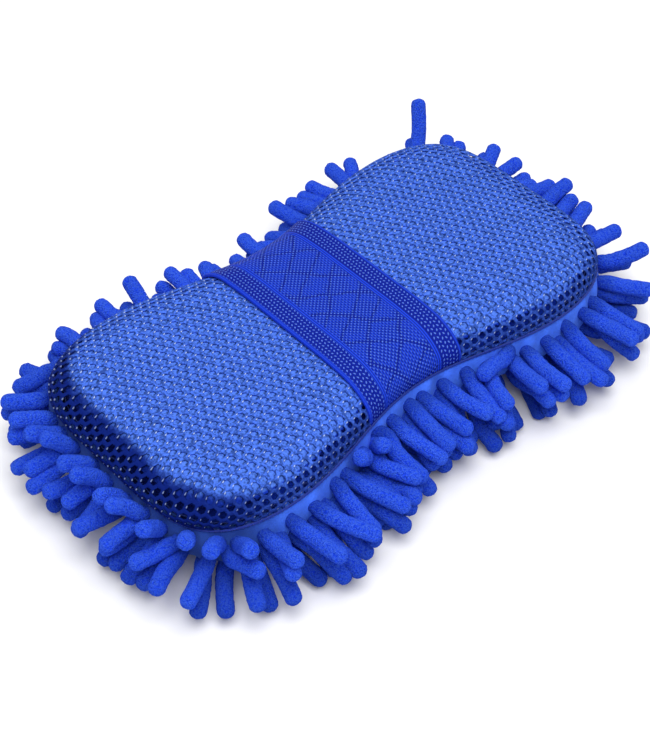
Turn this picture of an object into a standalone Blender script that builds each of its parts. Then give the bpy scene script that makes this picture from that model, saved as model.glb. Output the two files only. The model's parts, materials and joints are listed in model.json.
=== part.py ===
"""Wash pad: a waisted foam block in a knitted net and microfibre cloth cover, with rows of chenille
fingers stitched round its sides and under it, and an elastic hand strap across its waist.

Metres. +X runs along the pad, -Y is its front side and +Z is up. The origin is on the surface that the
pad lies on, under the middle of the pad. Side heights are measured from the seam between the net and
the cloth, which runs all round the pad at its widest.
"""

import math

import bmesh
import bpy
import numpy as np
from mathutils import Vector

# Pad, at the seam
PAD_LENGTH = 0.225
PAD_WIDTH = 0.126            # before the waist is taken off, which narrows the lobes a little too
CORNER_POWER = 4.4           # superellipse power of the plan: 2 is an ellipse, higher is squarer
WAIST_DEPTH = 0.0165         # how far each long side curves in
WAIST_REACH = 0.052          # spread of that curve along the pad
UPPER_DEPTH = 0.0155         # seam to the top of the net
LOWER_DEPTH = 0.0245         # seam to the underside of the cloth
TOP_EDGE_WIDTH = 0.016       # how far in from the seam the rounded top edge reaches
BOTTOM_RADIUS = 0.012

# Cover
NET_THICKNESS = 0.0012
CLOTH_THICKNESS = 0.0012
ALLOWANCE_DEPTH = 0.008      # turned-in edges of net and cloth, down from the seam
ALLOWANCE_THICKNESS = 0.0008
GROOVE_SLOPE = 0.0024        # under the groove that they press into the foam
THREAD_DIAMETER = 0.0004
STITCH_HEIGHT = 0.0016       # rise and fall of the seam's stitches
STITCHES_PER_STATION = 2

# Chenille
FINGER_WIDTH = 0.0066        # across the flats of its six sides
FINGER_TIP = 0.0022          # length of the rounded end
SIDE_FINGER_LENGTH = 0.026
SIDE_DROOP = math.radians(25)
UPPER_ROW_DROP = 0.0090      # from the seam, down the wall, to the middle of the row
LOWER_ROW_DROP = 0.0172
LOWER_ROW_LENGTH = 0.024
UPPER_ROW_PITCH = 0.0135     # nearest pitch that gives each quarter of the way round whole fingers
LOWER_ROW_PITCH = 0.0148
EDGE_ROW_PITCH = 0.0165
EDGE_ROW_INSET = 0.015
FLAT_FINGER_LENGTH = 0.023   # fingers pressed flat under the pad
STRIP_WIDTH = 0.0076         # stitched root of a row
STRIP_THICKNESS = 0.0012
ROOT_MARGIN = 0.0003         # strip left on each side of a finger's root

# Hand strap
STRAP_WIDTH = 0.050
STRAP_THICKNESS = 0.0016
STRAP_END_THICKNESS = 0.0010  # pinched in the seam
TACK_PITCH = 0.004

# Clearances
GAP = 0.0003                 # between parallel faces
CURVE_GAP = 0.0005           # between pieces whose facets don't run together
FINGER_ROOM = 0.0005         # between flat fingers, side by side and end to end

STATION_PITCH = 0.0135       # facets round the pad
STRAP_STATIONS = 9
EDGE_STEPS = 3               # facets across each rounded edge
DENSE = 2880

# The bottom edge is rounded only below the seam's turned-in edges and the slope under their groove.
GROOVE_BOTTOM = ALLOWANCE_DEPTH + 2 * GAP
BOTTOM_EDGE = min(BOTTOM_RADIUS, LOWER_DEPTH - GROOVE_BOTTOM - GROOVE_SLOPE - GAP)
BASE_Z = FINGER_WIDTH + GAP + STRIP_THICKNESS + GAP
SEAM_Z = BASE_Z + LOWER_DEPTH
TOP_Z = SEAM_Z + UPPER_DEPTH
FINGER_RADIUS = FINGER_WIDTH / math.sqrt(3)
ROOT_LENGTH = 2 * (FINGER_RADIUS + ROOT_MARGIN)
# Fingers of one base row pass between those of the next, and end before the row after it.
BASE_FINGER_PITCH = 2 * (2 * FINGER_RADIUS + FINGER_ROOM)
BASE_ROW_SPACING = (FLAT_FINGER_LENGTH + FINGER_WIDTH / 2 + FINGER_ROOM) / 2
UP = Vector((0, 0, 1))


# ---- Plan outline ----

def seam_curve():
    """Points, outward normals and distances round the seam, counterclockwise from its +X end."""
    angle = np.linspace(0, 2 * math.pi, DENSE, endpoint=False)
    along = np.abs(np.cos(angle)) / (PAD_LENGTH / 2)
    across = np.abs(np.sin(angle)) / (PAD_WIDTH / 2)
    radius = (along ** CORNER_POWER + across ** CORNER_POWER) ** (-1 / CORNER_POWER)
    x = radius * np.cos(angle)
    waist = 1 - 2 * WAIST_DEPTH / PAD_WIDTH * np.exp(-(x / WAIST_REACH) ** 2)
    points = np.column_stack([x, radius * np.sin(angle) * waist])
    tangent = np.roll(points, -1, 0) - np.roll(points, 1, 0)
    normals = np.column_stack([tangent[:, 1], -tangent[:, 0]])
    normals /= np.linalg.norm(normals, axis=1)[:, None]
    steps = np.linalg.norm(np.roll(points, -1, 0) - points, axis=1)
    return points, normals, np.concatenate([[0], np.cumsum(steps)])


SEAM_POINTS, SEAM_NORMALS, SEAM_DISTANCES = seam_curve()
PERIMETER = SEAM_DISTANCES[-1]
STATIONS = 4 * round(PERIMETER / 4 / STATION_PITCH)


def seam_at(distance):
    """The seam's point in plan and its outward normal, at this distance round it."""
    values = np.vstack([np.hstack([SEAM_POINTS, SEAM_NORMALS])] * 2)[:DENSE + 1]
    x, y, nx, ny = (np.interp(distance % PERIMETER, SEAM_DISTANCES, values[:, i]) for i in range(4))
    return Vector((x, y, 0)), Vector((nx, ny, 0)).normalized()


def ring(inset, z):
    """Points all round the pad, this far in from the seam's outline."""
    corners = []
    for station in range(STATIONS):
        point, outward = seam_at(station * PERIMETER / STATIONS)
        corners.append(point - outward * inset + UP * z)
    return corners


def half_width(x, inset):
    """Half the pad's width at x, on the outline this far in from the seam."""
    rear = SEAM_POINTS - SEAM_NORMALS * inset
    rear = rear[:DENSE // 2]
    return float(np.interp(x, rear[::-1, 0], rear[::-1, 1]))


# ---- Side profile ----

def top_edge(offset, floor_z=SEAM_Z):
    """(inset, z) pairs from the seam to the top, this far outside the net's outer face."""
    pairs = []
    for step in range(EDGE_STEPS + 1):
        turn = step / EDGE_STEPS * math.pi / 2
        inset = TOP_EDGE_WIDTH - (TOP_EDGE_WIDTH + offset) * math.cos(turn)
        z = SEAM_Z + (UPPER_DEPTH + offset) * math.sin(turn)
        pairs.append((inset, max(z, floor_z)))
    return pairs


def bottom_edge(depth):
    """(inset, z) pairs from the wall to the underside, this deep inside the cloth's outer face."""
    pairs = []
    for step in range(EDGE_STEPS + 1):
        turn = step / EDGE_STEPS * math.pi / 2
        inset = BOTTOM_EDGE - (BOTTOM_EDGE - depth) * math.cos(turn)
        z = BASE_Z + BOTTOM_EDGE - (BOTTOM_EDGE - depth) * math.sin(turn)
        pairs.append((inset, z))
    return pairs


def wall_at(drop):
    """Inset, height and downward tilt of the cloth's outer face, this far down it from the seam."""
    straight = LOWER_DEPTH - BOTTOM_EDGE
    tilt = max(0.0, (drop - straight) / BOTTOM_EDGE)
    inset = BOTTOM_EDGE * (1 - math.cos(tilt))
    z = SEAM_Z - min(drop, straight) - BOTTOM_EDGE * math.sin(tilt)
    return inset, z, tilt


# ---- Scene ----

def clear_scene():
    for item in list(bpy.data.objects):
        bpy.data.objects.remove(item, do_unlink=True)


def material(name, color, roughness):
    mat = bpy.data.materials.new(name)
    mat.use_nodes = True
    shader = mat.node_tree.nodes["Principled BSDF"]
    shader.inputs["Base Color"].default_value = (*color, 1)
    shader.inputs["Roughness"].default_value = roughness
    shader.inputs["Metallic"].default_value = 0
    return mat


def add_object(name, bm, mat, parent=None):
    """Turns the mesh's faces outwards and links it as one named object."""
    bmesh.ops.recalc_face_normals(bm, faces=bm.faces)
    mesh = bpy.data.meshes.new(name)
    bm.to_mesh(mesh)
    bm.free()
    mesh.shade_smooth()
    mesh.set_sharp_from_angle(angle=math.radians(35))
    mesh.materials.append(mat)
    item = bpy.data.objects.new(name, mesh)
    bpy.context.scene.collection.objects.link(item)
    if parent:
        item.parent = parent
        item.matrix_parent_inverse = parent.matrix_world.inverted()
    return item


def loft(bm, rings, closed=False):
    """Walls between the rings in turn, with a cap on each end, or round to the first ring."""
    loops = [[bm.verts.new(corner) for corner in corners] for corners in rings]
    pairs = list(zip(loops, loops[1:]))
    if closed:
        pairs.append((loops[-1], loops[0]))
    for lower, upper in pairs:
        for i in range(len(lower)):
            j = (i + 1) % len(lower)
            bm.faces.new((lower[i], lower[j], upper[j], upper[i]))
    if not closed:
        bm.faces.new(loops[0])
        bm.faces.new(loops[-1])


# ---- Foam and cover ----

def foam_core(mat):
    """Block that fills the cover, with a groove pressed into it by the seam's turned-in edges."""
    wall = CLOTH_THICKNESS + GAP
    groove = groove_depth()
    groove_top = SEAM_Z + GAP
    groove_bottom = SEAM_Z - GROOVE_BOTTOM
    profile = bottom_edge(wall)[::-1]
    profile += [(wall, groove_bottom - GROOVE_SLOPE), (groove, groove_bottom), (groove, groove_top)]
    rise = TOP_Z - NET_THICKNESS - GAP - groove_top
    reach = TOP_EDGE_WIDTH - groove
    for step in range(1, EDGE_STEPS + 1):
        turn = step / EDGE_STEPS * math.pi / 2
        profile.append((groove + reach * (1 - math.cos(turn)), groove_top + rise * math.sin(turn)))
    bm = bmesh.new()
    loft(bm, [ring(inset, z) for inset, z in profile])
    add_object("foam_core", bm, mat)


def net_cover(mat):
    """Knitted net over the top and down to the seam, open below."""
    rim = SEAM_Z + GAP / 2
    profile = top_edge(-NET_THICKNESS, rim)[::-1] + top_edge(0, rim)
    bm = bmesh.new()
    loft(bm, [ring(inset, z) for inset, z in profile])
    add_object("net_cover", bm, mat)


def base_cloth(mat):
    """Microfibre cloth under the pad and up its wall to the seam, open above."""
    rim = SEAM_Z - GAP / 2
    profile = bottom_edge(CLOTH_THICKNESS)[::-1] + [(CLOTH_THICKNESS, rim), (0, rim)]
    profile += bottom_edge(0)
    bm = bmesh.new()
    loft(bm, [ring(inset, z) for inset, z in profile])
    add_object("base_cloth", bm, mat)


# ---- Seam ----

def allowance_inset():
    return max(NET_THICKNESS, CLOTH_THICKNESS) + GAP


def strap_end_inset():
    return allowance_inset() + ALLOWANCE_THICKNESS + GAP


def thread_inset():
    """Middle of the threads, on the foam's side of the strap ends."""
    return strap_end_inset() + STRAP_END_THICKNESS + CURVE_GAP + THREAD_DIAMETER / 2


def groove_depth():
    return thread_inset() + THREAD_DIAMETER / 2 + CURVE_GAP


def seam_allowance(mat):
    """Turned-in edges of net and cloth, one band all round inside the wall."""
    outer = allowance_inset()
    inner = outer + ALLOWANCE_THICKNESS
    top = SEAM_Z - GAP
    bottom = SEAM_Z - ALLOWANCE_DEPTH
    bm = bmesh.new()
    loft(bm, [ring(outer, top), ring(outer, bottom), ring(inner, bottom), ring(inner, top)], closed=True)
    add_object("seam_allowance", bm, mat)


def tube(bm, path, outwards, closed):
    """Square-section thread along the path, which stands off along each point's outward direction."""
    half = THREAD_DIAMETER / 2
    count = len(path)
    sections = []
    for i, point in enumerate(path):
        before = path[i - 1] if closed or i else point
        after = path[(i + 1) % count] if closed or i < count - 1 else point
        along = (after - before).normalized()
        side = outwards[i].cross(along).normalized()
        corners = ((1, 1), (-1, 1), (-1, -1), (1, -1))
        sections.append([point + half * (a * side + b * outwards[i]) for a, b in corners])
    loft(bm, sections, closed)


def seam_thread(mat):
    """Thread that joins net, cloth and strap ends, rising and falling once for each stitch."""
    turns = STATIONS * STITCHES_PER_STATION
    middle = SEAM_Z - STITCH_HEIGHT
    path = []
    outwards = []
    for turn in range(turns):
        point, outward = seam_at(turn * PERIMETER / turns)
        z = middle + STITCH_HEIGHT / 2 * (-1) ** turn
        path.append(point - outward * thread_inset() + UP * z)
        outwards.append(outward)
    bm = bmesh.new()
    tube(bm, path, outwards, closed=True)
    add_object("seam_thread", bm, mat)


# ---- Chenille rows ----

def strip_section(centre, outward, along):
    """Four corners across a strip that lies on the face at centre: outer, inner, inner, outer."""
    up = outward.cross(along).normalized() * (STRIP_WIDTH / 2)
    inner = centre + outward * CURVE_GAP
    outer = inner + outward * STRIP_THICKNESS
    return outer - up, inner - up, inner + up, outer + up


def add_finger(bm, cell, along, path):
    """Six-sided finger on the cell's outer face, through the path's (centre, direction) rings."""
    start, end = cell
    corners = (end[3], start[3], start[0], end[0])
    centre = sum((vert.co for vert in corners), Vector()) / 4
    outward = (end[0].co - end[1].co).normalized()
    loops = []
    for point, direction in [(centre, outward)] + path[:-1]:
        up = direction.cross(along).normalized()
        loop = []
        for side in range(6):
            turn = side * math.pi / 3
            offset = FINGER_RADIUS * (math.cos(turn) * along + math.sin(turn) * up)
            loop.append(bm.verts.new(point + offset))
        loops.append(loop)
    # The collar joins the cell's four corners to the root's six.
    root = loops[0]
    c = corners
    bm.faces.new((c[3], c[0], root[0]))
    bm.faces.new((c[0], root[1], root[0]))
    bm.faces.new((c[0], c[1], root[2], root[1]))
    bm.faces.new((c[1], root[3], root[2]))
    bm.faces.new((c[1], c[2], root[3]))
    bm.faces.new((c[2], root[4], root[3]))
    bm.faces.new((c[2], c[3], root[5], root[4]))
    bm.faces.new((c[3], root[0], root[5]))
    for lower, upper in zip(loops, loops[1:]):
        for i in range(6):
            j = (i + 1) % 6
            bm.faces.new((lower[i], lower[j], upper[j], upper[i]))
    tip = bm.verts.new(path[-1][0])
    for i in range(6):
        bm.faces.new((loops[-1][i], loops[-1][(i + 1) % 6], tip))


def root_edges(fingers, pitch):
    """Both sides of each finger's root, as distances from the middle of the row."""
    middles = [(i - (fingers - 1) / 2) * pitch for i in range(fingers)]
    return [middle + side * ROOT_LENGTH / 2 for middle in middles for side in (-1, 1)]


def add_row(name, sections, finger_path, mat):
    """A strip through the sections, with a finger on its first cell and on every second one after."""
    bm = bmesh.new()
    loops = [[bm.verts.new(corner) for corner in section] for section in sections]
    for cell, (start, end) in enumerate(zip(loops, loops[1:])):
        for side in range(3):
            bm.faces.new((start[side], start[side + 1], end[side + 1], end[side]))
        if cell % 2:
            bm.faces.new((start[3], start[0], end[0], end[3]))
        else:
            middle = (start[0].co + start[3].co + end[0].co + end[3].co) / 4
            along = (end[0].co - start[0].co).normalized()
            add_finger(bm, (start, end), along, finger_path(middle, along))
    bm.faces.new(loops[0])
    bm.faces.new(loops[-1])
    add_object(name, bm, mat)


def standing_finger(length, droop):
    """Path of a finger that stands out from the wall and droops."""
    def path(root, along):
        outward = along.cross(UP).normalized()
        direction = outward * math.cos(droop) - UP * math.sin(droop)
        shoulder = root + direction * (length - FINGER_TIP)
        return [(shoulder, direction), (root + direction * length, direction)]
    return path


def flat_finger(length):
    """Path of a finger that turns over at its root and lies on the surface under the pad."""
    def path(root, along):
        outward = along.cross(UP).normalized()
        floor = Vector((root.x, root.y, FINGER_WIDTH / 2))
        elbow = floor + outward * FINGER_WIDTH
        shoulder = floor + outward * (length - FINGER_TIP)
        return [(elbow, outward), (shoulder, outward), (floor + outward * length, outward)]
    return path


def ring_row(name, inset, z, tilt, pitch, finger_path, mat):
    """Four strips, one for each quarter of the way round, at the ends and the long sides."""
    fingers = round(PERIMETER / 4 / pitch)
    pitch = PERIMETER / 4 / fingers
    for quarter, side in enumerate(("right", "rear", "left", "front")):
        sections = []
        for distance in root_edges(fingers, pitch):
            point, plan_normal = seam_at(quarter * PERIMETER / 4 + distance)
            outward = plan_normal * math.cos(tilt) - UP * math.sin(tilt)
            sections.append(strip_section(point - plan_normal * inset + UP * z, outward,
                                          UP.cross(plan_normal)))
        add_row(f"{name}_{side}", sections, finger_path, mat)


def base_rows(mat):
    """Rows across the underside, inside the edge row, with their fingers combed towards the ends."""
    clear_inset = EDGE_ROW_INSET + STRIP_WIDTH / 2 + CURVE_GAP
    far_end = PAD_LENGTH / 2 - clear_inset - FLAT_FINGER_LENGTH
    # The strips lie on a flat face, so they take the parallel gap that the finger's height counts on.
    z = BASE_Z + CURVE_GAP - GAP
    for end, side in ((1, "right"), (-1, "left")):
        row = 0
        x = BASE_ROW_SPACING / 2
        while x < far_end:
            room = min(half_width(x, clear_inset), half_width(x + FLAT_FINGER_LENGTH, clear_inset))
            fingers = int(2 * room / BASE_FINGER_PITCH)
            fingers -= (fingers + row) % 2
            sections = [strip_section(Vector((x * end, y * end, z)), -UP, Vector((0, end, 0)))
                        for y in root_edges(fingers, BASE_FINGER_PITCH)]
            row += 1
            add_row(f"chenille_base_{side}_{row}", sections, flat_finger(FLAT_FINGER_LENGTH), mat)
            x += BASE_ROW_SPACING


def side_droop():
    """How far the side fingers droop, less where the lower row would meet the flat ones below it."""
    inset, z, tilt = wall_at(LOWER_ROW_DROP)
    root = z - (CURVE_GAP + STRIP_THICKNESS) * math.sin(tilt)
    reach = FLAT_FINGER_LENGTH - EDGE_ROW_INSET + inset
    return min(SIDE_DROOP, math.atan2(root - 1.5 * FINGER_WIDTH - FINGER_ROOM, reach))


def chenille(mat):
    droop = side_droop()
    inset, z, tilt = wall_at(UPPER_ROW_DROP)
    ring_row("chenille_upper", inset, z, tilt, UPPER_ROW_PITCH,
             standing_finger(SIDE_FINGER_LENGTH, droop), mat)
    inset, z, tilt = wall_at(LOWER_ROW_DROP)
    ring_row("chenille_lower", inset, z, tilt, LOWER_ROW_PITCH,
             standing_finger(LOWER_ROW_LENGTH, droop), mat)
    ring_row("chenille_edge", EDGE_ROW_INSET, BASE_Z + CURVE_GAP - GAP, math.pi / 2, EDGE_ROW_PITCH,
             flat_finger(FLAT_FINGER_LENGTH), mat)
    base_rows(mat)


# ---- Hand strap ----

def strap_x():
    """Stations across the strap's width."""
    return [STRAP_WIDTH * (i / (STRAP_STATIONS - 1) - 0.5) for i in range(STRAP_STATIONS)]


def strap_split():
    """Where the strap's flat top ends and its sides start, as a distance from the pad's middle."""
    return half_width(0, TOP_EDGE_WIDTH)


def strap_body(name, profile_at, mat, parent=None):
    """Closed solid with one cross-section, profile_at(x), at each station across the strap."""
    bm = bmesh.new()
    loft(bm, [profile_at(x) for x in strap_x()])
    add_object(name, bm, mat, parent)


def strap(mat):
    """Band over the top, which lifts, a side at the front and rear, and the ends inside the seam."""
    near = CURVE_GAP
    far = CURVE_GAP + STRAP_THICKNESS
    rim = SEAM_Z + GAP

    lift = bpy.data.objects.new("strap_lift_axis", None)
    lift.location = (0, 0, TOP_Z)
    bpy.context.scene.collection.objects.link(lift)
    bpy.context.view_layer.update()

    def band(x):
        y = strap_split() - GAP / 2
        return [Vector((x, side * y, TOP_Z + rise)) for side, rise in
                ((-1, near), (1, near), (1, far), (-1, far))]

    strap_body("strap_band", band, mat, lift)
    for sign, side in ((-1, "front"), (1, "rear")):
        def flank(x):
            inner = [(half_width(x, inset), z) for inset, z in top_edge(near, rim)]
            outer = [(half_width(x, inset), z) for inset, z in top_edge(far, rim)]
            y = strap_split() + GAP / 2
            pairs = inner + [(y, TOP_Z + near), (y, TOP_Z + far)] + outer[::-1]
            return [Vector((x, sign * y, z)) for y, z in pairs]

        def end(x):
            outer = half_width(x, strap_end_inset())
            inner = half_width(x, strap_end_inset() + STRAP_END_THICKNESS)
            top = SEAM_Z - GAP
            bottom = SEAM_Z - ALLOWANCE_DEPTH
            return [Vector((x, sign * y, z)) for y, z in
                    ((outer, top), (inner, top), (inner, bottom), (outer, bottom))]

        strap_body(f"strap_side_{side}", flank, mat)
        strap_body(f"strap_end_{side}", end, mat)


def strap_tacks(mat):
    """Zigzag across each strap end, below the seam thread."""
    turns = round(STRAP_WIDTH * 0.9 / TACK_PITCH)
    top = SEAM_Z - 2 * STITCH_HEIGHT - THREAD_DIAMETER
    bottom = SEAM_Z - ALLOWANCE_DEPTH + THREAD_DIAMETER
    for sign, side in ((-1, "front"), (1, "rear")):
        path = []
        for turn in range(turns + 1):
            x = (turn - turns / 2) * TACK_PITCH
            path.append(Vector((x, sign * half_width(x, thread_inset()), bottom if turn % 2 else top)))
        bm = bmesh.new()
        tube(bm, path, [Vector((0, sign, 0))] * len(path), closed=False)
        add_object(f"strap_tack_{side}", bm, mat)


def main():
    clear_scene()
    foam_core(material("foam", (0.035, 0.130, 0.70), 0.9))
    net_cover(material("net", (0.012, 0.055, 0.45), 0.55))
    cloth = material("cloth", (0.026, 0.110, 0.66), 0.9)
    base_cloth(cloth)
    seam_allowance(cloth)
    thread = material("thread", (0.010, 0.040, 0.45), 0.6)
    seam_thread(thread)
    chenille(material("chenille", (0.013, 0.070, 0.66), 0.95))
    strap(material("strap", (0.010, 0.032, 0.45), 0.7))
    strap_tacks(thread)


main()
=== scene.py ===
import json
import math

import bmesh
import bpy
import numpy
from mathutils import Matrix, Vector

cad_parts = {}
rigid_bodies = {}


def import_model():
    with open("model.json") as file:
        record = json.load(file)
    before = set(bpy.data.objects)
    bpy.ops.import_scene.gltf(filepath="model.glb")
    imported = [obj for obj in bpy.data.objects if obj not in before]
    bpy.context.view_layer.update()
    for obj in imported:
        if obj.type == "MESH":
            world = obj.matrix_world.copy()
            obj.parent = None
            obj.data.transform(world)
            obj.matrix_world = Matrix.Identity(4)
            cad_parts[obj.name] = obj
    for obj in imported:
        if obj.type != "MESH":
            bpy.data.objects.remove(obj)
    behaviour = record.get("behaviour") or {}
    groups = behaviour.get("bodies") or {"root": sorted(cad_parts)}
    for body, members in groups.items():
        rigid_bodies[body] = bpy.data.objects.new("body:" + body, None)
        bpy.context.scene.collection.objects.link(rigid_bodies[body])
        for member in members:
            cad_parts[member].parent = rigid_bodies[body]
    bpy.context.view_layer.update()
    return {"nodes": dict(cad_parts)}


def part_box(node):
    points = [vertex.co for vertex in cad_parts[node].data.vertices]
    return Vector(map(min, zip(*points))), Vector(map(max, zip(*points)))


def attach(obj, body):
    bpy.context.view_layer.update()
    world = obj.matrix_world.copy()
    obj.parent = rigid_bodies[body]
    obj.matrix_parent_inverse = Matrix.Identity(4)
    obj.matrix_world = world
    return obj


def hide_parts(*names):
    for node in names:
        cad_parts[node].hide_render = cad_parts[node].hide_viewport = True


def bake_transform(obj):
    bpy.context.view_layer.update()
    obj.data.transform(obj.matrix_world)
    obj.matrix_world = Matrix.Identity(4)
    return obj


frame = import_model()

bl_info = {
    "name": "Chenille wash pad",
    "version": (1, 0, 0),
    "blender": (4, 5, 0),
    "location": "3D View > Sidebar > Wash pad",
    "description": "Builds a chenille car wash pad with a netted foam top and an elastic hand strap",
    "category": "Add Mesh",
}

NET_LOW, NET_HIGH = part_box("net_cover")
CLOTH_LOW, CLOTH_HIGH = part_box("base_cloth")
STRAP_LOW, STRAP_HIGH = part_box("strap_band")

SEAM_HEIGHT = CLOTH_HIGH[2]
TOP_HEIGHT = STRAP_LOW[2] - 0.0005
BASE_HEIGHT = CLOTH_LOW[2]
PAD_LENGTH = NET_HIGH[0] - NET_LOW[0]

SIDES = ("front", "rear", "left", "right")
LINE_POINTS = 720
NEAREST_BATCH = 4000   # flat points that are looked up on the seam line at one time
CROWN_REACH = 0.030    # distance inside the seam line where the crown is full
SLACK_REACH = 0.015    # distance up from the seam over which the net bellies out

# Places along X between which the left end's shade fades out, on the net and foam and on the cloth.
LEFT_SHADE = (-0.108, -0.070)
CLOTH_SHADE = (-0.098, -0.068)
# Distances up the surface from the seam between which the net comes to lie on the foam.
RIM_BAND = (0.0078, 0.0122)
# Heights between which the fingers' low shade fades out.
LOW_SHADE = (0.002, 0.026)

# Foam, hem and cloth: points round the pad, and sizes that the settings don't hold.
FOAM_RING = 240
FOAM_LIFT = 0.0022
HEM_STEPS = 480
HEM_CORD = 0.0011
HEM_STITCH_GAP = 0.0020
HEM_THREAD = 0.0004
CLOTH_RING = 480
CLOTH_SEED = 11

# Each row of fingers round the pad, and its finger spacing as a share of the usual one.
ROWS = (("upper", 1.0), ("middle", 1.9), ("lower", 1.04), ("edge", 1.10))
LOWEST_TILT = math.radians(-50.0)
HIGHEST_TILT = math.radians(45.0)
# How the fingers settle: joints of each, rounds, sinking each round, and pull back to where they began.
CURL_SEED = 23
TONE_SEED = 31
JOINTS = 8
FULL_ROUNDS = 110
SINK = 0.00004
MEMORY = 0.025
# Fingers under the pad: distance between rows, rows at each end, and the least distance to the seam.
BASE_PITCH = 0.0266
BASE_ROWS = 5
BASE_MARGIN = 0.0165

# The strap's points across and along it, and how far its ends are tucked into the seam.
STRAP_COLUMNS = 44
STRAP_SIDE_STEPS = 26
STRAP_TOP_STEPS = 60
STRAP_TUCK = 0.0016

# Fingers that don't follow their row: nearest place on the seam line, depth below it, direction, length.
ODD_FINGERS = (
    (0.098, 0.052, 0.0050, (0.62, 0.60, 0.50), 0.0340),
    (0.042, -0.055, 0.0030, (-0.90, -0.36, 0.20), 0.0240),
    (-0.036, -0.054, 0.0050, (-0.50, -0.52, 0.70), 0.0200),
    (-0.027, -0.052, 0.0060, (-0.30, -0.70, 0.60), 0.0200),
)


# ---------------------------------------------------------------- settings

class PadShape(bpy.types.PropertyGroup):
    """The outline and profile that every piece of the pad follows."""

    length: bpy.props.FloatProperty(
        name="Length", description="Length of the pad at its seam",
        default=PAD_LENGTH, unit="LENGTH")
    width: bpy.props.FloatProperty(
        name="Width", description="Width of the pad at its seam, before the waist is taken in",
        default=0.126, unit="LENGTH")
    corner_power: bpy.props.FloatProperty(
        name="Corner power", description="Squareness of the outline, 2 for an oval",
        default=4.4, min=2.0, max=12.0)
    waist_depth: bpy.props.FloatProperty(
        name="Waist depth", description="How far each long side is taken in at its middle",
        default=0.0165, unit="LENGTH")
    waist_reach: bpy.props.FloatProperty(
        name="Waist reach", description="How far along the sides the waist reaches",
        default=0.052, unit="LENGTH")
    edge_width: bpy.props.FloatProperty(
        name="Edge width", description="Width of the rounded top edge",
        default=0.016, unit="LENGTH")
    bottom_radius: bpy.props.FloatProperty(
        name="Bottom radius", description="Radius where the wall turns under the pad",
        default=0.012, unit="LENGTH")
    crown: bpy.props.FloatProperty(
        name="Crown", description="How much higher the middle of the top is than its edge",
        default=0.0018, unit="LENGTH")
    slack: bpy.props.FloatProperty(
        name="Slack", description="How far the loose net bellies out over the seam at the pad's end",
        default=0.0030, unit="LENGTH")
    bulge: bpy.props.FloatProperty(
        name="Bulge", description="How far the base cloth swells out below the seam",
        default=0.0018, unit="LENGTH")


class NetSettings(bpy.types.PropertyGroup):
    """The knitted net over the foam."""

    pitch: bpy.props.FloatProperty(
        name="Pitch", description="Distance between two holes of one row",
        default=0.0039, unit="LENGTH")
    hole: bpy.props.FloatProperty(
        name="Hole share", description="Width of a hole as a share of the pitch",
        default=0.66, min=0.2, max=0.9)
    thickness: bpy.props.FloatProperty(
        name="Thickness", description="Thickness of the net", default=0.0007, unit="LENGTH")
    colour: bpy.props.FloatVectorProperty(
        name="Colour", description="Colour of the net's yarn", subtype="COLOR", size=3,
        default=(0.052, 0.136, 0.630), min=0.0, max=1.0)
    shine: bpy.props.FloatVectorProperty(
        name="Shine", description="Colour of the yarn where it catches the light", subtype="COLOR",
        size=3, default=(0.470, 0.610, 1.000), min=0.0, max=1.0)


class FoamSettings(bpy.types.PropertyGroup):
    """The foam under the net."""

    gap: bpy.props.FloatProperty(
        name="Gap", description="Gap between the net and the foam", default=0.0009, unit="LENGTH")
    set_back: bpy.props.FloatProperty(
        name="Set back", description="How far the foam's side stands back from the net",
        default=0.0055, unit="LENGTH")
    colour: bpy.props.FloatVectorProperty(
        name="Colour", description="Colour of the foam's top", subtype="COLOR", size=3,
        default=(0.085, 0.210, 0.780), min=0.0, max=1.0)
    # Painted shade: the foam's side is given this dark colour, as it lies in shade in the gap under the net.
    side_shade_colour: bpy.props.FloatVectorProperty(
        name="Side colour", description="Colour of the foam's side", subtype="COLOR", size=3,
        default=(0.003, 0.016, 0.190), min=0.0, max=1.0)


class ClothSettings(bpy.types.PropertyGroup):
    """The soft cloth that carries the fingers."""

    thickness: bpy.props.FloatProperty(
        name="Thickness", description="Thickness of the cloth", default=0.0012, unit="LENGTH")
    ripple: bpy.props.FloatProperty(
        name="Ripple", description="Height of the cloth's ripples", default=0.0005, unit="LENGTH")
    colour: bpy.props.FloatVectorProperty(
        name="Colour", description="Colour of the cloth", subtype="COLOR", size=3,
        default=(0.065, 0.200, 1.000), min=0.0, max=1.0)


class ChenilleSettings(bpy.types.PropertyGroup):
    """The chenille fingers round and under the pad."""

    width: bpy.props.FloatProperty(
        name="Width", description="Width of a finger", default=0.0066, unit="LENGTH")
    length: bpy.props.FloatProperty(
        name="Length", description="Usual length of a finger", default=0.0275, unit="LENGTH")
    pitch: bpy.props.FloatProperty(
        name="Pitch", description="Distance between the fingers of a row", default=0.0100,
        unit="LENGTH")
    pile: bpy.props.FloatProperty(
        name="Pile", description="Height of the pile's lumps", default=0.00035, unit="LENGTH")
    seed: bpy.props.IntProperty(
        name="Seed", description="Seed of the fingers' directions", default=7, min=0)
    colour: bpy.props.FloatVectorProperty(
        name="Colour", description="Colour of the pile", subtype="COLOR", size=3,
        default=(0.011, 0.064, 1.000), min=0.0, max=1.0)
    tip_colour: bpy.props.FloatVectorProperty(
        name="Tip colour", description="Colour of the pile's tips", subtype="COLOR", size=3,
        default=(0.076, 0.205, 1.000), min=0.0, max=1.0)


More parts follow.
